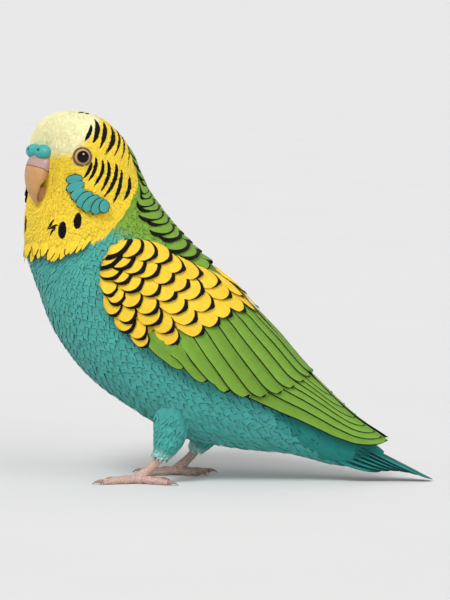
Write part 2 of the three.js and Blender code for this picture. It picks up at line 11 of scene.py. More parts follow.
import bpy
import numpy as np
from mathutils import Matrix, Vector


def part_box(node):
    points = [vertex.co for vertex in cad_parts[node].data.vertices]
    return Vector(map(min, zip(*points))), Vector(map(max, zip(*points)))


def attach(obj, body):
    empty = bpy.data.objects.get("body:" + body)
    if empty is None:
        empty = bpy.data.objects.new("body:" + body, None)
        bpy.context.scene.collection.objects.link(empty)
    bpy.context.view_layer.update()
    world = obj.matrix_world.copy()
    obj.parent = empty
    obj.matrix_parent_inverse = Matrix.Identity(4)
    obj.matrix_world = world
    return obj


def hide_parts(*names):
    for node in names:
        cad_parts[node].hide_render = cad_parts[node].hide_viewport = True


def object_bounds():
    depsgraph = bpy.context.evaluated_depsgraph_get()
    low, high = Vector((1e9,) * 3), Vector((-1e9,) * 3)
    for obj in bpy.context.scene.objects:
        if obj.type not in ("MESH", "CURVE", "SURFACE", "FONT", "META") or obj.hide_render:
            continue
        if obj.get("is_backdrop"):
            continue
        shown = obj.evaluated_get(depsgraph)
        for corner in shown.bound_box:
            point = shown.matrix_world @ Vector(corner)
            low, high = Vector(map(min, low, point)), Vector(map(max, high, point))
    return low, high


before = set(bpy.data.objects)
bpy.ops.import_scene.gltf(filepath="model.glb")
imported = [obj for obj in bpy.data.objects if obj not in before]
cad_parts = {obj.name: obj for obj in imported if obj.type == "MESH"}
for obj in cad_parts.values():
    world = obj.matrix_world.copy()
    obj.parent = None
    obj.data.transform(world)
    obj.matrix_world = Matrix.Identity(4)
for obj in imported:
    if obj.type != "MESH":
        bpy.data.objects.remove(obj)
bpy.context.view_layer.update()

# %% [markdown]
# Shapes are worked out with whole numpy arrays. These few tools blend, smooth and measure numbers, and
# carry lines and curves through rows of measurements, so that the rows that shape the solids also shape the
# plumage.

# %% Small tools for numbers
def mix(a, b, share):
    """a where share is 0, b where it is 1, and a straight line between."""
    return a + (b - a) * share


def ease(low, high, x):
    """0 below low, 1 above high, and the smooth step s * s * (3 - 2s) between."""
    s = np.clip((np.asarray(x, float) - low) / (high - low), 0, 1)
    return s * s * (3 - 2 * s)


def unit(v):
    """Vectors scaled to length 1."""
    return v / np.maximum(np.linalg.norm(v, axis=-1, keepdims=True), 1e-9)


def dot(a, b):
    """Products of vectors, with the last axis kept."""
    return np.sum(a * b, axis=-1, keepdims=True)


def spline(rows, t):
    """Catmull-Rom curve through rows, where t counts rows and the two ends are mirrored for their slopes."""
    rows = np.asarray(rows, float)
    t = np.asarray(t, float)
    i = np.clip(np.floor(t).astype(int), 0, len(rows) - 2)
    s = (t - i)[..., None]
    padded = np.vstack([2 * rows[0] - rows[1], rows, 2 * rows[-1] - rows[-2]])
    a, b, c, d = (padded[i + k] for k in range(4))
    slope_in, slope_out, rise = (c - a) / 2, (d - b) / 2, c - b
    square, cube = 3 * rise - 2 * slope_in - slope_out, slope_in + slope_out - 2 * rise
    return b + s * (slope_in + s * (square + s * cube))


def between(rows, x, **ends):
    """Straight lines through rows of [x, value]."""
    return np.interp(x, *np.transpose(rows), **ends)


def circle(steps):
    """Angles of that many even steps round a full circle, from 0 on."""
    return 2 * np.pi * np.arange(steps) / steps


# %% [markdown]
# The body under the feathers is one smooth form from rump to crown, as on a mounted bird. Each row gives
# one section: y and z of the back line, y and z of the belly line, and the half width. A section is a
# slightly squared ellipse. A loft keeps chest, neck and head in one flowing line, where separate balls and
# tubes would show their joins.

# %% The body's surface
BODY = [
    [68.0, 15.0, 65.6, 11.8, 4.6],
    [51.8, 25.6, 46.9, 6.9, 9.0],
    [33.1, 43.4, 26.6, 10.6, 14.0],
    [17.7, 61.3, 4.3, 13.0, 19.5],
    [2.2, 80.0, -17.3, 17.5, 24.0],
    [-11.6, 94.2, -38.4, 29.6, 26.5],
    [-20.9, 104.3, -56.2, 43.0, 27.0],
    [-27.4, 112.9, -69.2, 60.5, 26.0],
    [-31.9, 119.8, -76.5, 78.4, 24.0],
    [-35.1, 127.1, -80.6, 93.0, 22.8],
    [-38.0, 134.0, -80.8, 105.2, 22.2],
    [-42.8, 140.9, -78.2, 118.1, 21.4],
    [-49.3, 146.6, -78.6, 130.3, 19.4],
    [-55.4, 149.6, -77.6, 139.6, 16.2],
    [-62.3, 151.0, -74.6, 146.0, 9.6],
    [-69.4, 149.8, -69.4, 149.8, 0.0],
]
FULLNESS = 2.25
HEAD_TURN = np.radians(38)
HEAD_AXIS_Y = -58.5
TURN_FROM, TURN_TO = 7.3, 9.2


def bent(x):
    """Sign of x times |x| to the power 2 / FULLNESS, which squares a circle's sine and cosine a little."""
    return np.sign(x) * np.abs(x) ** (2 / FULLNESS)


def body_point(t, a):
    """Middle of the section, plus bent(cos a) of half its height and bent(sin a) of its half width."""
    back_y, back_z, belly_y, belly_z, half = np.moveaxis(spline(BODY, t), -1, 0)
    up = bent(np.cos(a)) / 2
    y = (back_y + belly_y) / 2 + up * (back_y - belly_y)
    z = (back_z + belly_z) / 2 + up * (back_z - belly_z)
    return np.stack([half * bent(np.sin(a)), y, z], -1)


def body_slopes(t, a, surface=body_point, step=0.02):
    """How the point moves per station and per radian, from small steps each way."""
    by_station = (surface(t + step, a) - surface(t - step, a)) / (2 * step)
    by_angle = (surface(t, a + step) - surface(t, a - step)) / (2 * step)
    return by_station, by_angle


def body_normal(t, a, surface=body_point):
    """Outward normal: the two slopes' cross product."""
    by_station, by_angle = body_slopes(t, a, surface)
    return unit(np.cross(by_station, by_angle))


TAIL_DROP_FROM, TAIL_DROP, TAIL_NARROW = 1.6, 4.4, 0.35


def trunk_point(t, a):
    """The body's surface without the wings, whose hind end is drawn down and in. From TAIL_DROP_FROM back
    it sinks by TAIL_DROP * share^1.5 and narrows by TAIL_NARROW * share, and the share is 1 at the tail."""
    share = np.clip((TAIL_DROP_FROM - t) / TAIL_DROP_FROM, 0, 1.2)[..., None]
    return body_point(t, a) * (1 - share * [TAIL_NARROW, 0, 0]) - share**1.5 * [0, 0, TAIL_DROP]


def head_turned(point, share):
    """Turns points about the head's upright line by a share of the full turn to the left."""
    angle = HEAD_TURN * np.asarray(share)
    y = point[..., 1] - HEAD_AXIS_Y
    x = point[..., 0]
    turned_y = HEAD_AXIS_Y + x * np.sin(angle) + y * np.cos(angle)
    return np.stack([x * np.cos(angle) - y * np.sin(angle), turned_y, point[..., 2]], -1)


def head_point(x, f, z):
    """A point of the head before it is turned: x to the left, f forward of the turning line, z up."""
    x, f, z = np.broadcast_arrays(np.asarray(x, float), f, z)
    return np.stack([x, HEAD_AXIS_Y - f, z], -1)


EYE_AT = head_point(16.8, 10.1, 132.4)
eye_low, eye_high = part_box("eye_left")
SHIFT_Y = 500 * (eye_low.y + eye_high.y) - head_turned(EYE_AT, 1)[1]
print("the solids stand", round(SHIFT_Y, 3), "mm off this file's own Y")


# %% [markdown]
# Feathers have to follow this surface everywhere, also over the crown, where the stations shrink to a
# point. So the surface is also kept as a grid of one-millimetre cubes whose corners hold the distance to
# it, its normal, the station and the way towards the tail. A feather can then walk over it from anywhere,
# with no poles in its way.

# %% Surfaces kept as fields of distance
class Field:
    """Each sample of a surface spreads the distance to its own tangent plane, its normal and further values
    over the grid corners within about two cubes, weighted by exp(-gap^2 / FALL_OFF). A corner keeps the
    weighted mean."""

    FALL_OFF = 0.64
    REACH = [np.array(step) - 2 for step in np.ndindex(5, 5, 5) if sum((k - 2) ** 2 for k in step) < 7]

    def __init__(self, points, normals, values):
        self.low = np.floor(points.min(0)) - 4
        self.shape = (np.ceil(points.max(0)) + 5 - self.low).astype(int)
        nearest = np.rint(points - self.low).astype(int)
        size = int(np.prod(self.shape))
        total = np.zeros((2 + 3 + values.shape[1], size))
        for step in self.REACH:
            corner = nearest + step
            gap = corner + self.low - points
            weight = np.exp(-np.sum(gap * gap, 1) / self.FALL_OFF)
            flat = np.ravel_multi_index(corner.T, self.shape)
            total[0] += np.bincount(flat, weight, size)
            total[1] += np.bincount(flat, weight * np.sum(gap * normals, 1), size)
            for row, column in enumerate([*normals.T, *values.T], 2):
                total[row] += np.bincount(flat, weight * column, size)
        self.known = (total[0] > 1e-6).astype(float)
        self.values = (total[1:] / np.maximum(total[0], 1e-6)).T

    def read(self, points):
        """Mean of the eight corners round each point, weighted by how near they are."""
        local = np.clip(points - self.low, 0, self.shape - 1.001)
        cell = local.astype(int)
        part = local - cell
        total = np.zeros(points.shape[:-1] + (self.values.shape[1],))
        weights = np.full(points.shape[:-1], 1e-9)
        for corner in np.ndindex(2, 2, 2):
            near = np.prod(np.where(corner, part, 1 - part), axis=-1)
            flat = np.ravel_multi_index(tuple(np.moveaxis(cell + np.array(corner), -1, 0)), self.shape)
            near = near * self.known[flat]
            total += near[..., None] * self.values[flat]
            weights += near
        return total / weights[..., None]

    def settle(self, points):
        """Moves points onto the surface in two steps, each along the normal by the distance read there."""
        for _ in range(2):
            values = self.read(points)
            normal = unit(values[..., 1:4])
            points = points - values[..., :1] * normal
        return points, normal, values[..., 4:]


SKIN_DEPTH = 0.9


def skin_point(t, a):
    """The trunk moved inwards by the coat's depth."""
    return trunk_point(t, a) - SKIN_DEPTH * body_normal(t, a, trunk_point)


def body_field():
    """Samples of the skin about half a millimetre apart, each with its station and its way to the tail."""
    t, a = np.meshgrid(np.arange(-0.3, 14.97, 0.032), np.linspace(-np.pi, np.pi, 341)[:-1], indexing="ij")
    tailward = unit(-body_slopes(t, a, trunk_point)[0])
    normal = body_normal(t, a, trunk_point)
    values = np.concatenate([t[..., None], tailward], -1)
    return Field(skin_point(t, a).reshape(-1, 3), normal.reshape(-1, 3), values.reshape(-1, 4))


skin_field = body_field()
print("skin field:", skin_field.shape, "cubes,", int(skin_field.known.sum()), "corners near the skin")

BILL_BASE = head_point(0, 20, 131)


def body_lie(point, station, tailward):
    """The way plumage lies: away from the bill on the head, and towards the tail behind it."""
    away = unit(point - BILL_BASE)
    return mix(unit(tailward), away, ease(8.2, 9.8, station)[..., None])


def angle_at(point, station):
    """Degrees round the body, from 0 at the back to 180 at the belly on either side, of a point near it."""
    back_y, back_z, belly_y, belly_z, half = np.moveaxis(spline(BODY, np.clip(station, 0, 14.9)), -1, 0)
    rise_y, rise_z = (back_y - belly_y) / 2, (back_z - belly_z) / 2
    from_middle_y = point[..., 1] - (back_y + belly_y) / 2
    from_middle_z = point[..., 2] - (back_z + belly_z) / 2
    up = (from_middle_y * rise_y + from_middle_z * rise_z) / (rise_y**2 + rise_z**2)
    out = np.abs(point[..., 0]) / np.maximum(half, 0.1)
    return np.degrees(np.arctan2(out ** (FULLNESS / 2), np.sign(up) * np.abs(up) ** (FULLNESS / 2)))


# %% [markdown]
# Everything becomes a mesh through one helper, which takes points in millimetres, face corners and face
# sizes, and writes colours, distances and UV maps as attributes that the materials read.

# %% Turn arrays into a mesh
def metres(points):
    """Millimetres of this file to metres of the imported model."""
    return (np.asarray(points, float) + [0, SHIFT_Y, 0]) / 1000


def make_piece(name, points, corners, sizes, material, replaces=(), uvs=None, colors=None, values=None):
    """A mesh object from whole arrays, riding on the bird and standing for the solids that it replaces."""
    mesh = bpy.data.meshes.new(name)
    mesh.vertices.add(len(points))
    mesh.vertices.foreach_set("co", metres(points).astype(np.float32).ravel())
    mesh.loops.add(len(corners))
    mesh.loops.foreach_set("vertex_index", np.asarray(corners, np.int32))
    mesh.polygons.add(len(sizes))
    mesh.polygons.foreach_set("loop_start", np.concatenate([[0], np.cumsum(sizes)[:-1]]).astype(np.int32))
    mesh.polygons.foreach_set("use_smooth", np.ones(len(sizes), bool))
    for label, color in (colors or {}).items():
        layer = mesh.color_attributes.new(label, "FLOAT_COLOR", "POINT")
        opaque = np.concatenate([color, np.ones((len(color), 1))], 1)
        layer.data.foreach_set("color", opaque.astype(np.float32).ravel())
    for label, value in (values or {}).items():
        mesh.attributes.new(label, "FLOAT", "POINT").data.foreach_set("value", np.asarray(value, np.float32))
    for label, uv in (uvs or {}).items():
        mesh.uv_layers.new(name=label).data.foreach_set("uv", np.asarray(uv, np.float32).ravel())
    mesh.update(calc_edges=True)
    mesh.materials.append(material)
    piece = bpy.data.objects.new(name, mesh)
    bpy.context.scene.collection.objects.link(piece)
    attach(piece, "root")
    if replaces:
        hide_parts(*replaces)
    triangles = int(np.sum(np.asarray(sizes) - 2))
    print(f"{name}: {triangles} triangles")
    return piece


def loft_faces(rings, sides):
    """Corners and sizes of a closed tube of quads, rings by sides, with a fan of triangles to a point at
    each end. The points are the rings in order, then the first end's point, then the last end's."""
    i, k = np.meshgrid(np.arange(rings - 1), np.arange(sides), indexing="ij")
    after = (k + 1) % sides
    quads = np.stack([i * sides + k, i * sides + after, (i + 1) * sides + after, (i + 1) * sides + k], -1)
    k = np.arange(sides)
    after = (k + 1) % sides
    first, last = rings * sides, rings * sides + 1
    start = np.stack([np.full(sides, first), after, k], -1)
    end = np.stack([np.full(sides, last), (rings - 1) * sides + k, (rings - 1) * sides + after], -1)
    corners = np.concatenate([quads.ravel(), start.ravel(), end.ravel()])
    sizes = np.concatenate([np.full(quads.size // 4, 4), np.full(2 * sides, 3)])
    return corners, sizes


def loft_points(rings):
    """Ring points in order, then the middle of the first ring and of the last."""
    return np.concatenate([rings.reshape(-1, 3), rings[:1].mean(1), rings[-1:].mean(1)])


# %% [markdown]
# A material is a tree of nodes, where the output of one node runs into an input of the next. These tools
# write one node or one usual chain of nodes in a single line.

# %% Small tools for materials
def node(tree, kind, inputs=None, **settings):
    """Adds a shader node, sets its settings, and gives its inputs a value or a link."""
    made = tree.nodes.new(kind)
    for key, value in settings.items():
        setattr(made, key, value)
    for key, value in (inputs or {}).items():
        if isinstance(value, bpy.types.NodeSocket):
            tree.links.new(value, made.inputs[key])
        else:
            made.inputs[key].default_value = value
    return made


def paint(code):
    """A colour written as rrggbb, as the linear numbers that the shader takes."""
    part = np.array([int(code[i : i + 2], 16) for i in (0, 2, 4)]) / 255
    return np.where(part < 0.04045, part / 12.92, ((part + 0.055) / 1.055) ** 2.4)


def new_material(name, roughness, **plain):
    """A material with one Principled BSDF, whose unlinked values are set on its own sockets."""
    material = bpy.data.materials.new(name)
    material.use_nodes = True
    shader = material.node_tree.nodes["Principled BSDF"]
    shader.inputs["Roughness"].default_value = roughness
    for key, value in plain.items():
        shader.inputs[key.replace("_", " ")].default_value = value
    return material, material.node_tree, shader


def own_place(tree):
    """A point's place in the object's own coordinates."""
    return node(tree, "ShaderNodeTexCoord").outputs["Object"]


def map_along(tree, label):
    """The second number of one of the piece's own maps."""
    place = node(tree, "ShaderNodeUVMap", uv_map=label).outputs[0]
    return node(tree, "ShaderNodeSeparateXYZ", {0: place}).outputs[1]


def noise(tree, place, scale, detail):
    """A noise texture's value at a place."""
    inputs = {"Vector": place, "Scale": scale, "Detail": detail}
    return node(tree, "ShaderNodeTexNoise", inputs).outputs["Fac"]


def math(tree, operation, *values, clamp=False):
    """One Math node's output."""
    inputs = dict(enumerate(values))
    return node(tree, "ShaderNodeMath", inputs, operation=operation, use_clamp=clamp).outputs[0]


def blend(tree, share, low, high):
    """The colour between low and high at that share. Each of the two is a socket or written as rrggbb."""
    low, high = ((*paint(end), 1) if isinstance(end, str) else end for end in (low, high))
    inputs = {"Factor": share, "A": low, "B": high}
    return node(tree, "ShaderNodeMix", inputs, data_type="RGBA").outputs["Result"]


def add_relief(tree, shader, height, strength, distance):
    """Tilts the shader's normal by a height, as a bump of that distance in metres."""
    inputs = {"Height": height, "Strength": strength, "Distance": distance}
    bump = node(tree, "ShaderNodeBump", inputs)
    tree.links.new(bump.outputs[0], shader.inputs["Normal"])


# %% [markdown]
# The picture is taken from the bird's left, a little from above, with a long lens that keeps the form flat
# as in a drawing. A floor that runs far past the frame gives the plain pale ground, and two wide soft suns
# light it evenly. A third sun is seen in polished things alone and puts the highlight into the eyes.

# %% Camera, floor and light
AZIMUTH, ELEVATION = np.radians(93), np.radians(5)
DISTANCE = 1.5
FRAME_HEIGHT = 0.2436
FLOOR_RADIUS = 60
AIM = np.array([0.0, 0.0002 + SHIFT_Y / 1000, 0.0735])


def add_camera():
    """A camera whose long side takes in FRAME_HEIGHT at DISTANCE: lens = 36 * distance / height."""
    data = bpy.data.cameras.new("camera")
    data.sensor_width = 36
    data.lens = 36 * DISTANCE / FRAME_HEIGHT
    camera = bpy.data.objects.new("camera", data)
    flat = np.cos(ELEVATION)
    back = np.array([np.sin(AZIMUTH) * flat, -np.cos(AZIMUTH) * flat, np.sin(ELEVATION)])
    camera.location = AIM + back * DISTANCE
    camera.rotation_euler = Vector(-back).to_track_quat("-Z", "Y").to_euler()
    bpy.context.scene.collection.objects.link(camera)
    bpy.context.scene.camera = camera


def add_sun(name, azimuth, elevation, strength, spread, mirrored=False):
    """A sun that shines from the given side, with spread the width of its disc in degrees. A mirrored one
    shows only in polished things, and the others don't, so the eyes hold one small highlight."""
    light = bpy.data.lights.new(name, "SUN")
    light.energy = strength
    light.angle = np.radians(spread)
    sun = bpy.data.objects.new(name, light)
    sun.rotation_euler = (np.radians(90 - elevation), 0, np.radians(azimuth))
    sun.visible_glossy = mirrored
    sun.visible_diffuse = not mirrored
    bpy.context.scene.collection.objects.link(sun)


def add_floor():
    """One wide pale disc, matt like seamless paper, with the faint mottle of its fibres."""
    angle = np.linspace(0, 2 * np.pi, 97)[:-1]
    rim = FLOOR_RADIUS * np.stack([np.cos(angle), np.sin(angle), 0 * angle], -1)
    mesh = bpy.data.meshes.new("floor")
    mesh.from_pydata(rim.tolist(), [], [list(range(96))])
    material, tree, shader = new_material("paper", 0.9, Specular_IOR_Level=0.0)
    fibre = noise(tree, own_place(tree), 9.0, 3.0)
    tree.links.new(blend(tree, fibre, "d5d5d5", "d9d9d9"), shader.inputs["Base Color"])
    mesh.materials.append(material)
    floor = bpy.data.objects.new("floor", mesh)
    bpy.context.scene.collection.objects.link(floor)
    floor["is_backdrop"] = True


add_camera()
add_floor()
add_sun("key_light", 60, 48, 2.0, 25)
add_sun("fill_light", 135, 30, 1.1, 60)
add_sun("spark_light", 121, 41, 4.5, 28, mirrored=True)
world = bpy.data.worlds.new("studio")
world.use_nodes = True
background = world.node_tree.nodes["Background"]
background.inputs["Color"].default_value = (1.0, 1.0, 1.0, 1)
background.inputs["Strength"].default_value = 0.55
bpy.context.scene.world = world
bpy.context.scene.view_settings.view_transform = "Standard"
print("camera looks from", [round(v, 3) for v in bpy.context.scene.camera.location])


# %% [markdown]
# A feather's vane is hundreds of barbs that run slantwise from the shaft to the edge. They are too fine to
# be worth a mesh of their own, so one node group draws them from the vane's own map, whose two numbers are
# millimetres across from the shaft and along from the root. The group also mottles the colour and frays the
# edge of a marking.

# %% The barbs of a vane, as a shader group
def new_group(name, inputs, outputs):
    """An empty node group with named sockets, each given as (name, kind, default)."""
    group = bpy.data.node_groups.new(name, "ShaderNodeTree")
    for label, kind, default in inputs:
        socket = group.interface.new_socket(label, in_out="INPUT", socket_type=kind)
        if default is not None:
            socket.default_value = default
    for label, kind in outputs:
        group.interface.new_socket(label, in_out="OUTPUT", socket_type=kind)
    return group, node(group, "NodeGroupInput"), node(group, "NodeGroupOutput")


def vane_group():
    """Colour times (0.86 + stripes + 0.28 * noise + tone - shaft), with ink mixed over it where its
    distance is above 0. The stripes are sin(2 pi * (along - 1.1 * across) / pitch + 5 * noise) times their
    strength."""
    group, given, out = new_group(
        "vane detail",
        [
            ("Vane", "NodeSocketVector", None),
            ("Color", "NodeSocketColor", (0.5, 0.5, 0.5, 1)),
            ("Tone", "NodeSocketFloat", 0.0),
            ("Ink", "NodeSocketFloat", -1.0),
            ("Ink Color", "NodeSocketColor", (0.01, 0.01, 0.01, 1)),
            ("Barb Pitch", "NodeSocketFloat", 0.35),
            ("Barb Strength", "NodeSocketFloat", 0.08),
            ("Shaft", "NodeSocketFloat", 0.1),
            ("Fray", "NodeSocketFloat", 0.15),
        ],
        [("Color", "NodeSocketColor"), ("Relief", "NodeSocketFloat"), ("Ink Share", "NodeSocketFloat")],
    )
    place = own_place(group)
    split = node(group, "ShaderNodeSeparateXYZ", {0: given.outputs["Vane"]})
    across = math(group, "ABSOLUTE", split.outputs[0])
    slant = math(group, "MULTIPLY_ADD", across, -1.1, split.outputs[1])
    turns = math(group, "DIVIDE", math(group, "MULTIPLY", slant, 6.2832), given.outputs["Barb Pitch"])
    wobble = noise(group, place, 900.0, 2.0)
    stripe = math(group, "SINE", math(group, "MULTIPLY_ADD", wobble, 5.0, turns))
    mottle = noise(group, place, 260.0, 4.0)
    shaft = math(group, "SUBTRACT", 1.0, math(group, "DIVIDE", across, 0.16), clamp=True)
    light = math(group, "MULTIPLY_ADD", stripe, given.outputs["Barb Strength"], 0.86)
    light = math(group, "MULTIPLY_ADD", mottle, 0.28, light)
    light = math(group, "ADD", light, given.outputs["Tone"])
    light = math(group, "SUBTRACT", light, math(group, "MULTIPLY", shaft, given.outputs["Shaft"]))
    shaded = {0: given.outputs["Color"], "Scale": light}
    tinted = node(group, "ShaderNodeVectorMath", shaded, operation="SCALE").outputs[0]
    fray = math(group, "MULTIPLY", math(group, "SUBTRACT", wobble, 0.5), given.outputs["Fray"])
    fray = math(group, "MULTIPLY_ADD", stripe, math(group, "MULTIPLY", given.outputs["Fray"], 0.25), fray)
    share = math(group, "DIVIDE", math(group, "ADD", given.outputs["Ink"], fray), 0.16)
    share = math(group, "ADD", share, 0.5, clamp=True)
    relief = math(group, "MULTIPLY_ADD", stripe, 0.5, math(group, "MULTIPLY", shaft, 1.5))
    group.links.new(blend(group, share, tinted, given.outputs["Ink Color"]), out.inputs["Color"])
    group.links.new(relief, out.inputs["Relief"])
    group.links.new(share, out.inputs["Ink Share"])
    return group


VANE_DETAIL = vane_group()


def plumage_material(name, roughness, pitch, strength, shaft, fray, bump, sheen):
    """Reads the vane's colour, tone and ink attributes and its own map, and adds the barbs' relief."""
    soft = {"Sheen_Weight": sheen, "Sheen_Roughness": 0.5, "Specular_IOR_Level": 0.06}
    material, tree, shader = new_material(name, roughness, **soft)
    inputs = {
        "Vane": node(tree, "ShaderNodeUVMap", uv_map="Vane").outputs[0],
        "Color": node(tree, "ShaderNodeVertexColor", layer_name="Plumage").outputs[0],
        "Tone": node(tree, "ShaderNodeAttribute", attribute_name="Tone").outputs["Fac"],
        "Ink": node(tree, "ShaderNodeAttribute", attribute_name="Ink").outputs["Fac"],
        "Ink Color": (0.003, 0.003, 0.003, 1),
        "Barb Pitch": pitch,
        "Barb Strength": strength,
        "Shaft": shaft,
        "Fray": fray,
    }
    detail = node(tree, "ShaderNodeGroup", inputs, node_tree=VANE_DETAIL)
    tree.links.new(detail.outputs["Color"], shader.inputs["Base Color"])
    add_relief(tree, shader, detail.outputs["Relief"], bump, 0.0001)
    return material


SOFT_PLUMAGE = plumage_material(
    "soft plumage", roughness=0.8, pitch=0.3, strength=0.05, shaft=0.0, fray=0.16, bump=0.2, sheen=0.1
)
PATTERNED = plumage_material(
    "patterned vanes", roughness=0.66, pitch=0.4, strength=0.05, shaft=0.16, fray=0.12, bump=0.45, sheen=0.03
)
print("materials so far:", [m.name for m in bpy.data.materials])


# %% [markdown]
# The colours follow the drawing: a yellow mask with a pale forehead, a green nape and back, a teal body and
# a dark rump. Each is written once in stations and degrees round the body, the same for both sides, so the
# skin and every feather over it can ask for its own colour.

# %% Colours of the plumage
TEAL = paint("4a9d94")
TEAL_DEEP = paint("459c96")
GREEN = paint("719835")
YELLOW = paint("e8c83a")
PALE = paint("e6e0ae")
TAIL_TEAL = paint("257a74")
# Edges of the coloured areas. The mask and the forehead begin at these stations, by degrees.
MASK_EDGE = [
    [0, 9.75], [20, 9.6], [40, 9.2], [59, 8.5], [66, 7.95], [75, 7.75], [84, 7.8], [95, 8.1],
    [111, 8.5], [127, 8.72], [135, 8.62], [146, 8.7], [163, 8.92], [180, 8.95],
]
FOREHEAD_EDGE = [[0, 12.95], [46, 12.7], [96, 12.35], [118, 11.98], [140, 12.15], [180, 12.3]]
# The back is green, and the rump as dark as the tail, down to these degrees, by station.
GREEN_EDGE = [[0, -20], [3.0, -20], [3.6, 40], [6, 55], [6.9, 60], [8, 76], [9, 90], [10, 90]]
TAIL_EDGE = [
    [0, 200], [0.7, 185], [1.0, 160], [1.3, 142], [1.6, 127], [2.0, 113], [2.4, 100], [2.5, 0], [16, 0],
]


def plumage_color(t, degrees):
    """Teal, dark inside TAIL_EDGE and green inside GREEN_EDGE, yellow past MASK_EDGE and pale past
    FOREHEAD_EDGE."""
    t, degrees = np.asarray(t, float), np.asarray(degrees, float)
    teal = mix(TEAL_DEEP, TEAL, ease(2, 8, t)[..., None])
    dark = ease(-4, 4, between(TAIL_EDGE, t) - degrees)
    teal = mix(teal, TAIL_TEAL, dark[..., None])
    green = ease(-9, 9, between(GREEN_EDGE, t) - degrees)
    color = mix(teal, GREEN, green[..., None])
    mask = ease(-0.02, 0.02, t - between(MASK_EDGE, degrees))
    color = mix(color, YELLOW, mask[..., None])
    pale = ease(-0.25, 0.25, t - between(FOREHEAD_EDGE, degrees))
    return mix(color, PALE, (pale * mask)[..., None])


print("belly, breast and mask colours:", plumage_color([3, 6, 10], [170, 170, 100]).round(3).tolist())


# %% [markdown]
# Black marks are kept as distances rather than as colours: a mark is a brush stroke or a spot, and each
# feather's corner knows how far inside or outside the nearest mark it lies. The material then draws the
# edge as sharp as the picture needs, and the barbs fray it.

# %% Black marks as distances
# Strokes as three points, each a station and degrees, and the greatest half width in millimetres.
UPPER_BARS = [
    [(13.00, 77), (12.55, 90), (12.28, 103), 0.5],
    [(13.15, 53), (12.40, 77), (11.98, 93), 0.68],
    [(12.50, 44), (12.05, 67), (11.58, 91), 0.65],
    [(12.02, 34), (11.55, 61), (11.30, 88), 0.7],
    [(11.75, 0), (11.35, 42), (10.91, 80), 0.68],
    [(11.32, 0), (11.00, 38), (10.50, 72), 0.6],
    [(10.88, 0), (10.55, 34), (10.00, 62), 0.55],
    [(10.45, 0), (10.12, 30), (9.34, 48), 0.6],
]
LOWER_BARS = [
    [(11.42, 102), (11.18, 108), (11.00, 119), 0.5],
    [(11.50, 96), (11.08, 101), (10.78, 114), 0.55],
    [(11.28, 91), (10.78, 94), (10.48, 107), 0.6],
    [(11.12, 86), (10.48, 88), (10.10, 98), 0.65],
    [(10.78, 77), (10.16, 81), (9.78, 97), 0.75],
    [(10.32, 69), (9.73, 77), (9.22, 89), 0.75],
    [(9.78, 61), (9.21, 66), (9.00, 78), 0.8],
]
CROWN_BARS = [
    [(14.05, 52), (13.80, 36), (13.62, 18), 0.42],
    [(13.70, 48), (13.48, 36), (13.38, 26), 0.36],
    [(12.90, 0), (12.88, 12), (12.75, 22), 0.4],
    [(12.45, 0), (12.42, 12), (12.28, 22), 0.45],
    [(12.05, 0), (12.03, 10), (11.92, 18), 0.45],
]
# How much wider the bars are drawn than the half widths above, since the feathers' own tips break them up.
BAR_BREADTH = 1.85
# Spots as station, signed degrees, half width and half height in millimetres.
THROAT_SPOTS = [
    (9.63, 124, 1.9, 3.3),
    (9.58, 142, 2.0, 3.7),
    (9.86, -157, 1.9, 3.4),
    (9.6, -131, 1.9, 3.4),
]
# A crooked stroke on the left of the throat, in three parts.
THROAT_STROKES = [
    [(10.10, 151), (9.93, 157), (9.74, 162), 0.62],
    [(9.78, 160), (9.82, 154), (9.88, 147), 0.5],
    [(9.90, 147), (9.72, 153), (9.52, 159), 0.62],
]
NO_INK = -9.0  # a distance that is outside every mark
HEAD_FROM = 8.3  # the station where the first marks may begin


def stroke(t, degrees, scale_t, scale_a, points, half):
    """Half width minus distance, in mm, to a quadratic Bezier curve through the middle point. The width
    tapers to both ends, or to the far end alone where the stroke starts at 0 degrees and meets the other
    side's."""
    start, middle, end = (np.array(p, float) for p in points)
    control = 2 * middle - (start + end) / 2
    steps = 8
    shares = np.linspace(0, 1, steps + 1)[:, None]
    curve = (1 - shares) ** 2 * start + 2 * shares * (1 - shares) * control + shares**2 * end
    best = np.full(t.shape, NO_INK)
    joined = start[1] == 0
    for i in range(steps):
        here_t, here_a = (curve[i, 0] - t) * scale_t, (curve[i, 1] - degrees) * scale_a
        step_t = (curve[i + 1, 0] - curve[i, 0]) * scale_t
        step_a = (curve[i + 1, 1] - curve[i, 1]) * scale_a
        share = np.clip(-(here_t * step_t + here_a * step_a) / (step_t**2 + step_a**2 + 1e-9), 0, 1)
        away = np.hypot(here_t + share * step_t, here_a + share * step_a)
        along = (i + share) / steps
        if joined:
            taper = np.cos(np.clip(along, 0, 1) * np.pi / 2) ** 0.6
        else:
            taper = np.clip(np.sin(along * np.pi), 0, 1) ** 0.7
        best = np.maximum(best, half * (1.15 * taper - 0.15) - away)
    return best


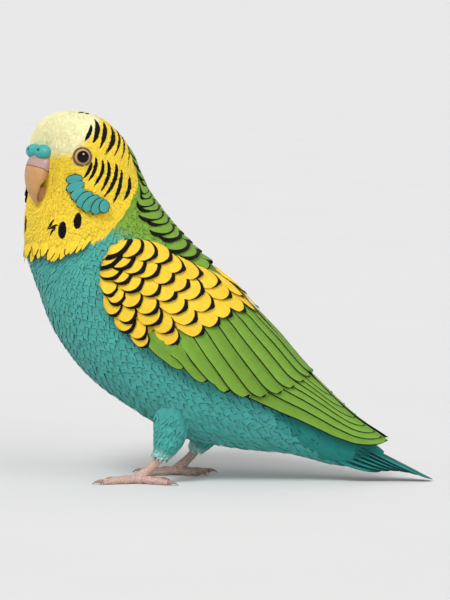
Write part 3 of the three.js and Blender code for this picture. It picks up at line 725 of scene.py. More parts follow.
def head_ink(t, signed):
    """The largest of all marks' distances, above 0 inside a mark. Degrees are below 0 on the right. Only
    the places past HEAD_FROM are worked out, since no mark lies behind them."""
    shape = t.shape
    t, signed = t.ravel(), signed.ravel()
    ink = np.full(t.shape, NO_INK)
    near = t > HEAD_FROM
    t, signed = t[near], signed[near]
    degrees = np.abs(signed)
    by_station, by_angle = body_slopes(np.minimum(t, 14.9), np.radians(degrees))
    scale_t = np.linalg.norm(by_station, axis=-1)
    scale_a = np.linalg.norm(by_angle, axis=-1) * np.pi / 180
    found = np.full(t.shape, NO_INK)
    for *points, half in UPPER_BARS + LOWER_BARS + CROWN_BARS:
        found = np.maximum(found, stroke(t, degrees, scale_t, scale_a, points, half * BAR_BREADTH))
    for *points, half in THROAT_STROKES:
        found = np.maximum(found, stroke(t, signed, scale_t, scale_a, points, half))
    for spot_t, spot_a, wide, high in THROAT_SPOTS:
        from_t, from_a = (t - spot_t) * scale_t, (signed - spot_a) * scale_a
        found = np.maximum(found, (1 - np.hypot(from_t / high, from_a / wide)) * wide)
    ink[near] = found
    return ink.reshape(shape)


print("marks:", len(UPPER_BARS + LOWER_BARS + CROWN_BARS), "bars a side and", len(THROAT_SPOTS), "spots")


# %% [markdown]
# Under the feathers lies a skin that fills every gap between them in the same colours, darkened a little
# as painted shade. It is a plain loft a millimetre inside the coat's surface, and one skin stands for the
# torso, the neck and the head.

# %% The skin
# Painted shade: the skin that shows between the feathers is darkened by this share.
SKIN_SHADE = 0.93  # how dark the skin is against the feathers over it


def round_map(corners, sides, across, along):
    """Millimetres round and along a loft for the barb pattern, since it has no vanes."""
    return np.stack([corners % sides * across, corners // sides * along], -1)


def plumage_loft(name, nodes, loft, uv, color, ink=NO_INK, material=SOFT_PLUMAGE):
    """A closed form without vanes, with the plumage's colours, ink and barb pattern."""
    points, corners, sizes = loft
    values = {"Ink": ink + np.zeros(len(points)), "Tone": np.zeros(len(points))}
    make_piece(name, points, corners, sizes, material, nodes, {"Vane": uv}, {"Plumage": color}, values)


def add_skin():
    """Rings of the body's surface moved inwards by SKIN_DEPTH, turned with the head."""
    rings, sides = 260, 160
    t, a = np.meshgrid(np.linspace(0.15, 14.97, rings), circle(sides), indexing="ij")
    degrees = np.degrees(np.where(a > np.pi, a - 2 * np.pi, a))
    color, ink = plumage_color(t, np.abs(degrees)), head_ink(t, degrees)
    points = head_turned(skin_point(t, a), ease(TURN_FROM, TURN_TO, t))
    corners, sizes = loft_faces(rings, sides)
    flat = lambda grid: np.concatenate([grid.reshape(rings * sides, -1), grid[:1, 0], grid[-1:, 0]])
    loft, uv = (loft_points(points), corners, sizes), round_map(corners, sides, 1.0, 0.7)
    # painted shade of the gaps between the feathers
    color, ink = flat(color) * SKIN_SHADE, flat(ink[..., None])[:, 0]
    plumage_loft("skin", ("torso", "neck", "head"), loft, uv, color, ink)


add_skin()


# %% [markdown]
# A contour feather is a small arched leaf that is fixed at its root and lies over the next one. One closed
# vane of a few dozen faces is worked out here for thousands of roots at once. It walks over the surface
# along the lie of the plumage, so it bends with the body, and it rises a little towards its ragged tip, so
# it overlaps what lies behind.

# %% The form of a vane
class VaneShape:
    """A root point, rows of columns up to a tip row, and a flat underside. Each row is (share of length,
    share of half width, sweep back of its edges, share of the arch)."""

    def __init__(self, rows, columns, ragged=0.0):
        self.u, self.width, self.sweep, self.arch = np.array(rows, float).T
        self.v = np.linspace(-1, 1, columns)
        self.ragged = ragged * np.where(np.arange(columns) % 2, -1.0, 1.0)
        last = len(rows) - 1
        at = 1 + np.arange(len(rows) * columns).reshape(-1, columns)
        faces = [(0, at[0, k], at[0, k + 1]) for k in range(columns - 1)]
        for r in range(last):
            for k in range(columns - 1):
                faces.append((at[r, k], at[r + 1, k], at[r + 1, k + 1], at[r, k + 1]))
        upper = len(faces)
        faces.append((0, at[0, -1], at[0, 0]))
        for r in range(last):
            faces.append((at[r, 0], at[r, -1], at[r + 1, -1], at[r + 1, 0]))
        faces.append(tuple(at[-1, ::-1]))
        self.corners = np.concatenate([np.array(face) for face in faces])
        self.sizes = np.array([len(face) for face in faces])
        self.under = np.repeat(np.arange(len(faces)) >= upper, self.sizes)
        self.count = 1 + at.size
        ring = np.array([0, *at[:, 0], *at[-1, 1:], *at[-2::-1, -1]])
        self.border = np.zeros((self.count, self.count), bool)
        self.border[ring, np.roll(ring, 1)] = self.border[np.roll(ring, 1), ring] = True
        self.flat_u = np.concatenate([[0], np.repeat(self.u, columns)])
        self.flat_v = np.concatenate([[0], np.tile(self.v, len(rows))])
        self.flat_width = np.concatenate([[0], np.repeat(self.width, columns)])
        self.flat_sweep = np.concatenate([[0], (self.sweep[:, None] * self.v**2).ravel()])
        self.flat_arch = np.concatenate([[0], (self.arch[:, None] * (1 - self.v**2)).ravel()])


SMALL_VANE = VaneShape(
    [
        (0.25, 0.6, 0.0, 0.6),
        (0.5, 0.92, 0.02, 1.0),
        (0.72, 1.0, 0.08, 0.8),
        (0.88, 0.84, 0.17, 0.4),
        (1.0, 0.5, 0.27, 0),
    ],
    columns=7,
    ragged=0.04,
)
TINY_VANE = VaneShape(
    [
        (0.35, 0.7, 0.0, 0.8),
        (0.65, 1.0, 0.06, 0.9),
        (0.86, 0.84, 0.17, 0.4),
        (1.0, 0.5, 0.28, 0),
    ],
    columns=5,
    ragged=0.04,
)
print("corners of a small vane and a tiny one:", SMALL_VANE.count, TINY_VANE.count)

# %% [markdown]
# Growing a vane takes two steps. Its root is chosen at random with a least gap to its neighbours, and then
# its rows are carried over the surface one by one. Two maps go with each vane: its own patch of the bake
# map, and the millimetres that the barb pattern is drawn from.

# %% Roots, rows and maps of small vanes
def walk(field, lie, roots, shape, length, half, spin, low, high, camber):
    """Each row steps on along the lie, turned by spin. Its columns go half * width to each side and down to
    the surface, and then up by low to high along the vane plus camber * arch across it."""
    point, normal, more = field.settle(roots)
    station = [more[:, :1]]
    points = [(point + normal * low[:, None])[:, None]]
    before = 0.0
    for u, width, sweep, arch in zip(shape.u, shape.width, shape.sweep, shape.arch):
        heading = lie(point, more[:, 0], more[:, 1:])
        heading = unit(heading - normal * dot(heading, normal))
        heading = heading * np.cos(spin)[:, None] + np.cross(normal, heading) * np.sin(spin)[:, None]
        point, normal, more = field.settle(point + heading * ((u - before) * length)[:, None])
        before = u
        side = np.cross(normal, heading)
        back = sweep * shape.v**2 - (shape.ragged if u == 1 else 0)
        columns = point[:, None] + side[:, None] * (half[:, None] * width * shape.v)[..., None]
        columns = columns - heading[:, None] * (length[:, None] * back)[..., None]
        base, out, there = field.settle(columns)
        height = mix(low, high, u)[:, None] + camber[:, None] * arch * (1 - shape.v**2)
        points.append(base + out * height[..., None])
        station.append(there[..., 0])
    return np.concatenate(points, 1), np.concatenate(station, 1)


def spread_roots(t_range, degree_range, spacing, seed, keep=None):
    """Random places on the skin, taken one after another where none taken before is nearer than spacing.
    Returns the points, stations and signed degrees."""
    rng = np.random.default_rng(seed)
    tries = 160000
    t = rng.uniform(*t_range, tries)
    degrees = rng.uniform(*degree_range, tries) * rng.choice([-1, 1], tries)
    a = np.radians(degrees)
    by_station, by_angle = body_slopes(t, a)
    area = np.linalg.norm(np.cross(by_station, by_angle), axis=-1)
    fair = rng.uniform(0, np.quantile(area, 0.995), tries) < area
    if keep is not None:
        fair &= keep(t, np.abs(degrees))
    t, degrees, a = t[fair], degrees[fair], a[fair]
    points = skin_point(t, a)
    taken, chosen = {}, []
    cells = np.floor(points / spacing).astype(int)
    for i, (cell, place) in enumerate(zip(map(tuple, cells), points.tolist())):
        if cell in taken:
            continue
        x, y, z = cell
        near = [
            taken[p, q, r]
            for p in (x - 1, x, x + 1)
            for q in (y - 1, y, y + 1)
            for r in (z - 1, z, z + 1)
            if (p, q, r) in taken
        ]
        if all(sum((s - w) ** 2 for s, w in zip(place, one)) > spacing**2 for one in near):
            taken[cell] = place
            chosen.append(i)
    return points[chosen], t[chosen], degrees[chosen]


def root_map(shape, t, degrees, across=0.0021, along=0.003):
    """Each vane's patch of the bake map, 0.003 wide, at its root's place on an unrolled skin. The underside
    takes the patch's last fifth, so nothing in it lies over anything else."""
    x = np.where(shape.under, across + 0.0003 + 0.0006 * (shape.flat_v[shape.corners] + 1) / 2, 0)
    x = np.where(shape.under, x, across * (shape.flat_v[shape.corners] + 1) / 2)
    y = along * shape.flat_u[shape.corners]
    home = np.stack([0.002 + 0.994 * (degrees + 180) / 360, 0.002 + 0.994 * np.clip(t, 0, 15) / 15], -1)
    return (home[:, None] + np.stack([x, y], -1)[None]).reshape(-1, 2)


def vane_map(shape, length, half):
    """Millimetres across from the shaft and along from the root, at every face corner."""
    x = half[:, None] * (shape.flat_v * shape.flat_width)[shape.corners]
    y = length[:, None] * (shape.flat_u - shape.flat_sweep)[shape.corners]
    return np.stack([x, y], -1).reshape(-1, 2)


def mark_edges(piece, shape):
    """Marks the rim of every vane sharp, so light doesn't wrap round it as round a pebble."""
    edges = np.empty(2 * len(piece.data.edges), np.int32)
    piece.data.edges.foreach_get("vertices", edges)
    first, second = (edges.reshape(-1, 2) % shape.count).T
    sharp = piece.data.attributes.new("sharp_edge", "BOOLEAN", "EDGE")
    sharp.data.foreach_set("value", shape.border[first, second])


def vane_piece(
    name, material, shape, points, bake, length, half, color, ink, tone, replaces=(), order=None
):
    """One piece of whole vanes. The corners of each face follow the shape's, or the given order of them."""
    count = len(points)
    order = slice(None) if order is None else order
    pick = lambda uv: uv.reshape(count, -1, 2)[:, order].reshape(-1, 2)
    piece = make_piece(
        name,
        points.reshape(-1, 3),
        (shape.corners[order][None] + shape.count * np.arange(count)[:, None]).ravel(),
        np.tile(shape.sizes, count),
        material,
        replaces,
        uvs={"OFBake": pick(bake), "Vane": pick(vane_map(shape, length, half))},
        colors={"Plumage": np.clip(color, 0, 1).reshape(-1, 3)},
        values={"Ink": ink.ravel(), "Tone": np.repeat(tone, shape.count)},
    )
    mark_edges(piece, shape)
    print(f"{name}: {count} feathers of {length.mean():.1f} mm")


TIP_SHARE = 0.15  # how far a mark's place is drawn towards the feather's tip
# Painted shade: the roots that lie under the feathers before them are darkened.
ROOT_SHADE = 0.9  # how dark the hidden root of a feather is against its tip
SPIN = 0.12  # radians by which feathers stray from the lie
SIZE_SPREAD = ((0.88, 1.12), (0.9, 1.1), (0.8, 1.25))  # of length, half width and rise


def root_shade(shape):
    """Painted shade: ROOT_SHADE up to a fifth of the vane and 1 from three quarters on, so the hidden roots
    are darker.
    """
    return mix(ROOT_SHADE, 1.0, ease(0.2, 0.75, shape.flat_u))[None, :, None]


def grow_coat(name, slot, shape, t_range, degree_range, spacing, sizes, seed, keep=None):
    """One coat of small vanes. Sizes hold length, half width and rise as rows of [station, value] in mm. A
    vane has the colour of the place near its tip, and its marks are those of the place under each
    corner."""
    rng = np.random.default_rng(seed)
    roots, t, degrees = spread_roots(t_range, degree_range, spacing, seed, keep)
    count = len(roots)
    length, half, rise = (
        between(rows, t) * rng.uniform(*spread, count) for rows, spread in zip(sizes, SIZE_SPREAD)
    )
    spin = rng.normal(0, SPIN, count)
    low = np.full(count, -0.15)
    points, station = walk(skin_field, body_lie, roots, shape, length, half, spin, low, rise, 0.11 * half)
    degrees_at = angle_at(points, station)
    columns = len(shape.v)
    tip = 1 + 2 * columns + columns // 2  # the shaft's point in the third row
    color = plumage_color(station[:, tip], degrees_at[:, tip])[:, None]
    drawn_t = mix(station, station[:, tip : tip + 1], TIP_SHARE)
    drawn_a = mix(degrees_at, degrees_at[:, tip : tip + 1], TIP_SHARE)
    ink = head_ink(drawn_t, drawn_a * np.where(points[..., 0] < 0, -1, 1))
    # painted shade at the roots, and a little random tone
    color = color * root_shade(shape) * rng.normal(1, 0.02, (count, 1, 3))
    points = head_turned(points, ease(TURN_FROM, TURN_TO, station))
    tone = rng.normal(0, 0.035, count)
    bake = root_map(shape, t, degrees)
    vane_piece(name, SOFT_PLUMAGE, shape, points, bake, length, half, color, ink, tone)


# %% [markdown]
# The coat is parted as feather tracts are: crown, face, hind head, neck, breast and belly. Vanes are
# smallest on the crown and grow towards the tail. None is placed under the folded wing, the bill, the cere,
# the eye or the rump's long feathers.

# %% The coat of small feathers
EYE_RING = 4.2
# Half the breadth of what the bill and the cere cover, by height.
BILL_RANGE = [
    [112.5, 0.0], [113.5, 2.2], [120.0, 4.6], [131.0, 5.6], [133.0, 6.3], [136.4, 6.0], [137.2, 0.0],
]
BILL_BACK = 12  # how far ahead of the head's turning line the bill begins
# Degrees round the body of the folded wing's lower and upper edges, at stations 0 to 8.
WING_LOW = [[70], [98], [106], [104], [103], [100], [98], [93], [88]]
WING_HIGH = [[14], [7], [5], [5], [12], [35], [45], [58], [66]]
WING_HIDES = (1.2, 6.6)  # stations between which the wing covers the skin
WING_MARGIN = 9  # degrees inside the wing's edges up to which the coat still grows


def open_skin(t, degrees):
    """False under the wing, under the bill and the cere, on the eye, and where the rump's long feathers
    lie."""
    point = body_point(t, np.radians(degrees))
    wing_low = np.interp(t, range(9), np.ravel(WING_LOW)) - WING_MARGIN
    wing_high = np.interp(t, range(9), np.ravel(WING_HIGH)) + WING_MARGIN
    covered = (t > WING_HIDES[0]) & (t < WING_HIDES[1])
    under_wing = covered & (degrees < wing_low) & (degrees > wing_high)
    eye = np.linalg.norm(point - EYE_AT, axis=-1) < EYE_RING
    beside_bill = between(BILL_RANGE, point[..., 2], left=0, right=0)
    bill = (np.abs(point[..., 0]) < beside_bill) & (point[..., 1] < HEAD_AXIS_Y - BILL_BACK)
    rump = (t < 2.4) & (degrees < between(TAIL_EDGE, t) - 4)
    return ~(under_wing | eye | bill | rump)


# Length, half width and rise of the vanes in mm, by station.
HEAD_SIZES = (
    [[8, 5.2], [9, 4.2], [10, 3.3], [12, 2.6], [15, 2.3]],
    [[8, 1.55], [9, 1.25], [10, 1.02], [12, 0.85], [15, 0.8]],
    [[8, 0.7], [9, 0.55], [12, 0.34], [15, 0.28]],
)
BODY_SIZES = (
    [[0, 8.0], [2, 9.0], [5, 7.6], [8, 5.6], [9.2, 4.4]],
    [[0, 2.1], [2, 2.35], [5, 2.15], [8, 1.65], [9.2, 1.3]],
    [[0, 0.45], [2, 0.7], [5, 0.75], [9, 0.6]],
)
COATS = [
    ("crown_coat", "head_plumage", TINY_VANE, (12.0, 14.96), (0, 180), 0.76, HEAD_SIZES),
    ("face_coat", "head_plumage", TINY_VANE, (9.2, 12.0), (88, 180), 0.8, HEAD_SIZES),
    ("hind_head_coat", "head_plumage", TINY_VANE, (9.2, 12.0), (0, 88), 0.8, HEAD_SIZES),
    ("neck_coat", "neck_plumage", SMALL_VANE, (7.2, 9.2), (0, 180), 1.45, BODY_SIZES),
    ("breast_coat", "body_plumage", SMALL_VANE, (4.0, 7.2), (0, 180), 1.75, BODY_SIZES),
    ("belly_coat", "body_plumage", SMALL_VANE, (0.75, 4.0), (0, 180), 1.95, BODY_SIZES),
]
for seed, coat in enumerate(COATS, 11):
    grow_coat(*coat, seed, open_skin)


# %% [markdown]
# A folded wing lies over the body like tiles: coverts in rows over the secondaries, and those over the long
# primaries. Roots and tips are given as a station and a share across the wing, as in the solids.

# %% The folded wing's surface
WING_FRONT, WING_CORE_END = 7.12, 1.7  # stations
WING_MIDDLE = 77  # degrees, where the two edges meet at the front
WING_CAP = 1.1  # stations that the round front takes
WING_LIFT = 1.2  # mm off the body
SUNK = 5.0  # mm that the first coverts' hidden parts lie under the breast
WING_CORE = [[0.6], [0.8], [1.0], [1.3], [1.6], [2.0], [2.0], [1.6], [1.2]]


def wing_angle(t, across):
    """Radians round the body at a share across the wing, whose edges close to a round bend at the front."""
    cap = np.sqrt(1 - (1 - np.clip((WING_FRONT + 0.02 - t) / WING_CAP, 0, 1)) ** 2)
    low = mix(WING_MIDDLE, spline(WING_LOW, t)[..., 0], cap)
    high = mix(WING_MIDDLE, spline(WING_HIGH, t)[..., 0], cap)
    return np.radians(mix(low, high, across))


def wing_point(t, across, height):
    """The body's surface at that place, moved out by WING_LIFT + height."""
    a = wing_angle(t, across)
    normal = body_normal(t, a)
    return body_point(t, a) + normal * (WING_LIFT + np.asarray(height))[..., None], normal


def covert_point(t, across, height):
    """As wing_point, but over edges that aren't closed at the front: what lies d degrees outside the wing's
    outline sinks into the breast by SUNK * ease(1, 8, d), so the first coverts come out from under its
    feathers. Each station ahead of WING_FRONT counts as 30 degrees."""
    low, high = spline(WING_LOW, t)[..., 0], spline(WING_HIGH, t)[..., 0]
    degrees = mix(low, high, across)
    edge_low, edge_high = np.degrees(wing_angle(t, 0)), np.degrees(wing_angle(t, 1))
    outside = np.maximum(degrees - edge_low, edge_high - degrees) + 30 * np.maximum(0, t - WING_FRONT)
    a = np.radians(degrees)
    normal = body_normal(t, a)
    lifted = WING_LIFT + np.asarray(height) - SUNK * ease(1, 8, outside)
    return body_point(t, a) + normal * lifted[..., None], normal


def wing_thickness(t, across):
    """The wing's core thins to its edges with the cube of the way out."""
    return spline(WING_CORE, t)[..., 0] * mix(0.45, 1, 1 - np.abs(2 * across - 1) ** 3)


def lay_on_wing(shape, root, tip, half, sink, lift, tilt, camber, ramp=0.45, surface=wing_point, spill=0.04):
    """Places whole vanes on the wing: u runs from root to tip, and a sideways move in millimetres becomes a
    move in station and share by least squares on the surface's two slopes. The vane is sunk at its root and
    rises to lift at the share ramp of its length, by half as much near the wing's upper edge. Its lower
    edge is raised by tilt, and its middle by camber * half * arch."""
    root, tip, half = np.asarray(root, float), np.asarray(tip, float), np.asarray(half, float)[:, None]
    u = np.clip(shape.flat_u - shape.flat_sweep, 0, 1)[None]
    t, across = mix(root[:, :1], tip[:, :1], u), mix(root[:, 1:], tip[:, 1:], u)
    step = 0.01
    here, normal = surface(t, across, 0 * t)
    by_station = (surface(t - step, across, 0 * t)[0] - here) / step
    by_across = (surface(t, across + step, 0 * t)[0] - here) / step
    slope = ((tip - root)[:, 1:] / np.maximum(0.2, (root - tip)[:, :1]))[..., None]
    along = unit(by_station + slope * by_across)
    move = np.cross(normal, along) * (half * shape.flat_v * shape.flat_width)[..., None]
    pairs = ((by_station, by_station), (by_station, by_across), (by_across, by_across))
    a, b, c = (np.sum(x * y, -1) for x, y in pairs)
    p, q = np.sum(move * by_station, -1), np.sum(move * by_across, -1)
    det = a * c - b * b
    at = np.clip(across + (q * a - p * b) / det, -spill, 1 + spill)
    t = np.maximum(-0.3, t - (p * c - q * b) / det)
    base = wing_thickness(np.maximum(0, t), np.clip(at, 0, 1))
    edge = np.clip(0.5 - 0.5 * shape.flat_v, 0, 1) ** 1.5
    rise = (sink + lift) * np.clip(u / ramp, 0, 1) * mix(1, 0.5, ease(0.8, 1, at))
    height = base - sink + rise + tilt * edge * ease(0, 0.2, u)
    height = np.maximum(0.35, height) + camber * half * shape.flat_arch
    return surface(t, at, height)[0]


# %% [markdown]
# Wing and tail feathers are few, large and patterned. Each gets its own square of a bake map, many rows
# that round its tip, and dark ink along its rim or in a crescent.

# %% Finish patterned vanes
def tile_map(shape, count):
    """Each vane has a square tile of the bake map, with its upper side in the left part and its underside
    in the right part, laid out in rows of tiles."""
    across = int(np.ceil(np.sqrt(count)))
    i = np.arange(count)
    home = np.stack([i % across, i // across], -1) / across
    v = (shape.flat_v[shape.corners] + 1) / 2
    x = np.where(shape.under, 0.84 + 0.13 * v, 0.03 + 0.76 * v)
    y = 0.03 + 0.94 * shape.flat_u[shape.corners]
    return (home[:, None] + np.stack([x, y], -1)[None] / across).reshape(-1, 2)


def patterned_vanes(name, shape, points, length, half, color, ink, side=1, replaces=(), seed=1):
    """One piece of large vanes. On the right side the points are mirrored, and each face's corners run
    backwards so that it still faces out."""
    order = None
    if side < 0:
        points = points * [-1, 1, 1]
        starts = np.concatenate([[0], np.cumsum(shape.sizes)[:-1]])
        within = np.arange(len(shape.corners)) - np.repeat(starts, shape.sizes)
        order = np.repeat(starts + shape.sizes - 1, shape.sizes) - within
    tone = np.random.default_rng(seed).normal(0, 0.03, len(points))
    bake = tile_map(shape, len(points))
    vane_piece(name, PATTERNED, shape, points, bake, length, half, color, ink, tone, replaces, order)


def crescent(shape, length, half, thick, thin=0.12, lean=0.2):
    """Distance outside a capsule that is set back from the tip: its round end leaves a crescent along the
    vane's own round tip, thick mm deep at the tip, and a line thin mm wide up the sides. The capsule is
    moved across by lean * thick, which widens the line on one side."""
    x = half[:, None] * shape.flat_v * shape.flat_width
    y = length[:, None] * (1 - shape.flat_u + shape.flat_sweep)
    centre_y = half + thick - thin
    centre_x = -lean * thick
    down = np.minimum(y - centre_y[:, None], 0)
    return np.hypot(x - centre_x[:, None], down) - (half - thin)[:, None]


def rim_line(shape, half, width):
    """Distance in mm to a line of that width along both edges of a vane."""
    x = half[:, None] * np.abs(shape.flat_v) * shape.flat_width
    return width - (half[:, None] * np.maximum(shape.flat_width, 0.02) - x)


def arc_rows(round_from, tip_width, tip_sweep, base_width, count):
    """Rows of a vane whose sides widen from base_width to 1 and round in after round_from as an ellipse
    does: sqrt(1 - s^2), where s grows to the share that leaves tip_width at the end."""
    straight, bent_share = count // 3, np.linspace(0, 1, count - count // 3 + 1)[1:]
    bow = np.sin(bent_share * np.pi / 2)
    u = np.concatenate([np.linspace(0.1, round_from, straight), mix(round_from, 1, bow)])
    inward = np.clip((u - round_from) / (1 - round_from), 0, 1)
    width = mix(base_width, 1, ease(0, 0.4, u)) * np.sqrt(1 - (1 - tip_width**2) * inward**2)
    sweep = tip_sweep * inward**3
    arch = np.minimum(1, 4 * u) * (1 - inward**3)
    arch[-1] = 0
    return list(zip(u, width, sweep, arch))


COVERT = VaneShape(arc_rows(0.5, 0.36, 0.06, 0.5, 14), 11, 0.004)
QUILL = VaneShape(arc_rows(0.78, 0.26, 0.02, 0.7, 24), 9, 0.0)
POINTED = VaneShape(arc_rows(0.35, 0.12, 0.0, 0.6, 10), 7, 0.0)


# %% [markdown]
# In the drawing the wing coverts are yellow, each with a black crescent that is thick at its tip and thin
# up the sides. Under them come the green secondaries and primaries with dark edges. Each row starts deep
# under the row before it and lifts its tip and lower edge over the next, so the crescents fall into
# overlapping scallops.

# %% The wings
COVER_END = [[5.3], [4.5], [3.95], [3.6], [3.2]]
SECONDARY_TIPS = [
    [4.3, 0.1], [3.7, 0.1], [3.15, 0.12], [2.75, 0.19], [2.4, 0.33], [2.15, 0.52], [2.0, 0.72], [1.95, 0.9],
]
PRIMARY_TIPS = [[0.12, 0.42], [0.35, 0.66], [0.72, 0.78], [1.1, 0.84], [1.5, 0.88]]
# Where the core's lower and upper edges run, as station and share across the wing.
CORE_LOW = [[1.7, 0.45], [2.5, 0.34], [3.0, 0.2], [3.7, 0.1], [4.6, 0.04], [7.2, 0.02]]
CORE_HIGH = [[1.7, 0.55], [2.1, 0.8], [2.6, 0.94], [7.2, 0.97]]
COVERT_COUNTS = [2, 3, 4, 4, 5, 5, 5, 6, 7]


def cover_end(across):
    """Station where the coverts end, from the lower edge of the wing to the upper one."""
    return spline(COVER_END, 4 * np.asarray(across, float))[..., 0]


def covert_width(t):
    """Millimetres across the wing, measured along its surface, as if its front weren't rounded."""
    shares = np.linspace(0, 1, 9)
    level = np.asarray(t)[..., None]
    line = covert_point(level + 0 * shares, shares + 0 * level, np.zeros(9))[0]
    return np.linalg.norm(np.diff(line, axis=-2), axis=-1).sum(-1)


def length_of(root, tip):
    """Straight length of feathers between two places of the wing, in mm."""
    a = wing_point(root[:, 0], root[:, 1], 0 * root[:, 0])[0]
    b = wing_point(tip[:, 0], tip[:, 1], 0 * tip[:, 0])[0]
    return np.linalg.norm(b - a, axis=-1)


def covert_places():
    """Rows from the bend of the wing back, staggered by a quarter of a feather from row to row. The first
    rows are drawn in towards the middle, and each root lies 2.2 rows ahead of its tip."""
    rng = np.random.default_rng(31)
    rows = len(COVERT_COUNTS)
    root, tip, half = [], [], []
    for row, count in enumerate(COVERT_COUNTS):
        across = (np.arange(count) + (0.62 if row % 2 else 0.38)) / count + rng.normal(0, 0.012, count)
        across = mix(0.5, across, min(1, 0.55 + 0.2 * row))
        share = (row + 1) / rows + rng.normal(0, 0.008, count)
        end = mix(WING_FRONT, cover_end(across), share)
        start = mix(WING_FRONT, cover_end(across), share - 2.2 / rows)
        tip.append(np.stack([end, across - 0.03], -1))
        root.append(np.stack([start, across + 0.02], -1))
        half.append(0.58 * covert_width(mix(start, end, 0.85)) / count)
    return np.concatenate(root), np.concatenate(tip), np.concatenate(half)


def secondary_root(s):
    """Secondaries start under the last coverts."""
    across = 0.1 + 0.115 * s
    return np.stack([cover_end(np.minimum(1, across)) + 0.3, across], -1)


def primary_root(s):
    """Primaries start under the secondaries."""
    return np.stack([3.7 - 0.2 * s, 0.12 + 0.14 * s], -1)


def quill_color(shape, count, inner, outer):
    """The inner colour along the shaft, and the outer one towards the edges."""
    share = np.broadcast_to(np.abs(shape.flat_v)[None, :, None] ** 1.5, (count, shape.count, 3))
    return mix(inner, outer, share)


# Name, tips, number, roots, half width, lift, tilt, colours of shaft and edge, width of the rim, and seed.
QUILLS = [
    ("primaries", PRIMARY_TIPS, 7, primary_root, 3.5, 0.3, 0.8, ("678e32", "76a03e"), 0.34, 41),
    ("secondaries", SECONDARY_TIPS, 10, secondary_root, 4.1, 0.95, 0.9, ("6a9133", "78a23e"), 0.38, 42),
]


def add_quills(wing, side, label, tips, count, root_of, breadth, lift, tilt, colors, rim, seed):
    """Long feathers spread evenly along the curve of their tips, each with a dark rim."""
    s = np.linspace(0, len(tips) - 1, count)
    root, tip = root_of(s), spline(tips, s)
    half = np.full(count, breadth)
    length = length_of(root, tip)
    points = lay_on_wing(QUILL, root, tip, half, 0.6, lift, tilt, 0.06)
    color = quill_color(QUILL, count, *map(paint, colors))
    ink = rim_line(QUILL, half, rim)
    name, nodes = f"{label}_{wing}", (f"wing_{wing}",)
    patterned_vanes(name, QUILL, points, length, half, color, ink, side, nodes, seed)


def add_coverts(wing, side):
    """The rows of yellow coverts with their black crescents."""
    root, tip, half = covert_places()
    length = length_of(root, tip)
    points = lay_on_wing(COVERT, root, tip, half, 0.9, 1.15, 0.6, 0.06, 1.0, covert_point, 0.1)
    color = np.broadcast_to(paint("e9c138"), (len(root), COVERT.count, 3))
    ink = crescent(COVERT, length, half, np.minimum(0.4 * half, 1.8))
    name, nodes = f"coverts_{wing}", (f"wing_{wing}",)
    patterned_vanes(name, COVERT, points, length, half, color, ink, side, nodes, seed=43)


def add_wing_core(wing, side):
    """A curved slab that fills the gaps under the feathers, yellow under the coverts and dark green
    behind."""
    rings, across = 60, 16
    t = np.linspace(WING_FRONT, WING_CORE_END, rings)[:, None]
    share = mix(between(CORE_LOW, t), between(CORE_HIGH, t), np.linspace(0, 1, across)[None])
    t = np.broadcast_to(t, share.shape)
    top = wing_point(t, share, wing_thickness(t, share) - 0.35)[0]
    under = wing_point(t, share, 0 * t)[0]
    loop = np.concatenate([top, under[:, ::-1]], 1)
    if side < 0:
        loop = (loop * [-1, 1, 1])[:, ::-1]
    corners, sizes = loft_faces(rings, 2 * across)
    corners, sizes = corners[::-1], sizes[::-1]
    covered = (t > cover_end(share) - 0.1)[..., None]
    color = np.where(covered, paint("dcb634"), paint("58782f"))
    color = np.concatenate([color, color[:, ::-1]], 1).reshape(-1, 3)
    color = np.concatenate([color, color[:1], color[-1:]])
    loft, uv = (loft_points(loop), corners, sizes), round_map(corners, 2 * across, 1.0, 1.0) + [2.0, 0.0]
    plumage_loft(
        f"wing_core_{wing}", (f"wing_{wing}",), loft, uv, color, material=PATTERNED
    )


for wing, side in (("left", 1), ("right", -1)):
    for quills in QUILLS:
        add_quills(wing, side, *quills)
    add_coverts(wing, side)
    add_wing_core(wing, side)


# %% [markdown]
# Four groups of body feathers are large and marked: those of the back, with thin dark arcs down the nape
# and thick black ones over the mantle, the teal cheek patches, the ragged dark lower edge of the mask, and
# the long dark coverts over the tail. They are laid on the skin one by one, each from a root to a tip, over
# the coat of small feathers.

# %% Marked feathers on the body
def skin_place(t, degrees):
    """The skin's point at a station and signed degrees."""
    return skin_point(np.asarray(t, float), np.radians(np.asarray(degrees, float)))


def vanes_on_skin(name, shape, root, tip, half, height, camber, color, ink, seed):
    """Whole vanes from root to tip, each given as rows of [station, degrees], raised by height = (root,
    tip). Ink is worked out from the lengths and half widths."""
    start, end = skin_place(*np.transpose(root)), skin_place(*np.transpose(tip))
    length = np.linalg.norm(end - start, axis=-1)
    half = np.asarray(half, float) + 0 * length
    low, high = (np.asarray(h, float) + 0 * length for h in height)
    heading = unit(end - start)
    straight = lambda *_: heading
    points, station = walk(
        skin_field, straight, start, shape, length, half, 0 * length, low, high, camber * half
    )
    points = head_turned(points, ease(TURN_FROM, TURN_TO, station))
    color = np.broadcast_to(color, (len(length), shape.count, 3))
    patterned_vanes(name, shape, points, length, half, color, ink(length, half), seed=seed)


def stations_back(t, degrees, length):
    """How many stations towards the head a length in mm takes from there."""
    by_station = body_slopes(np.asarray(t, float), np.radians(np.asarray(degrees, float)))[0]
    return length / np.linalg.norm(by_station, axis=-1)


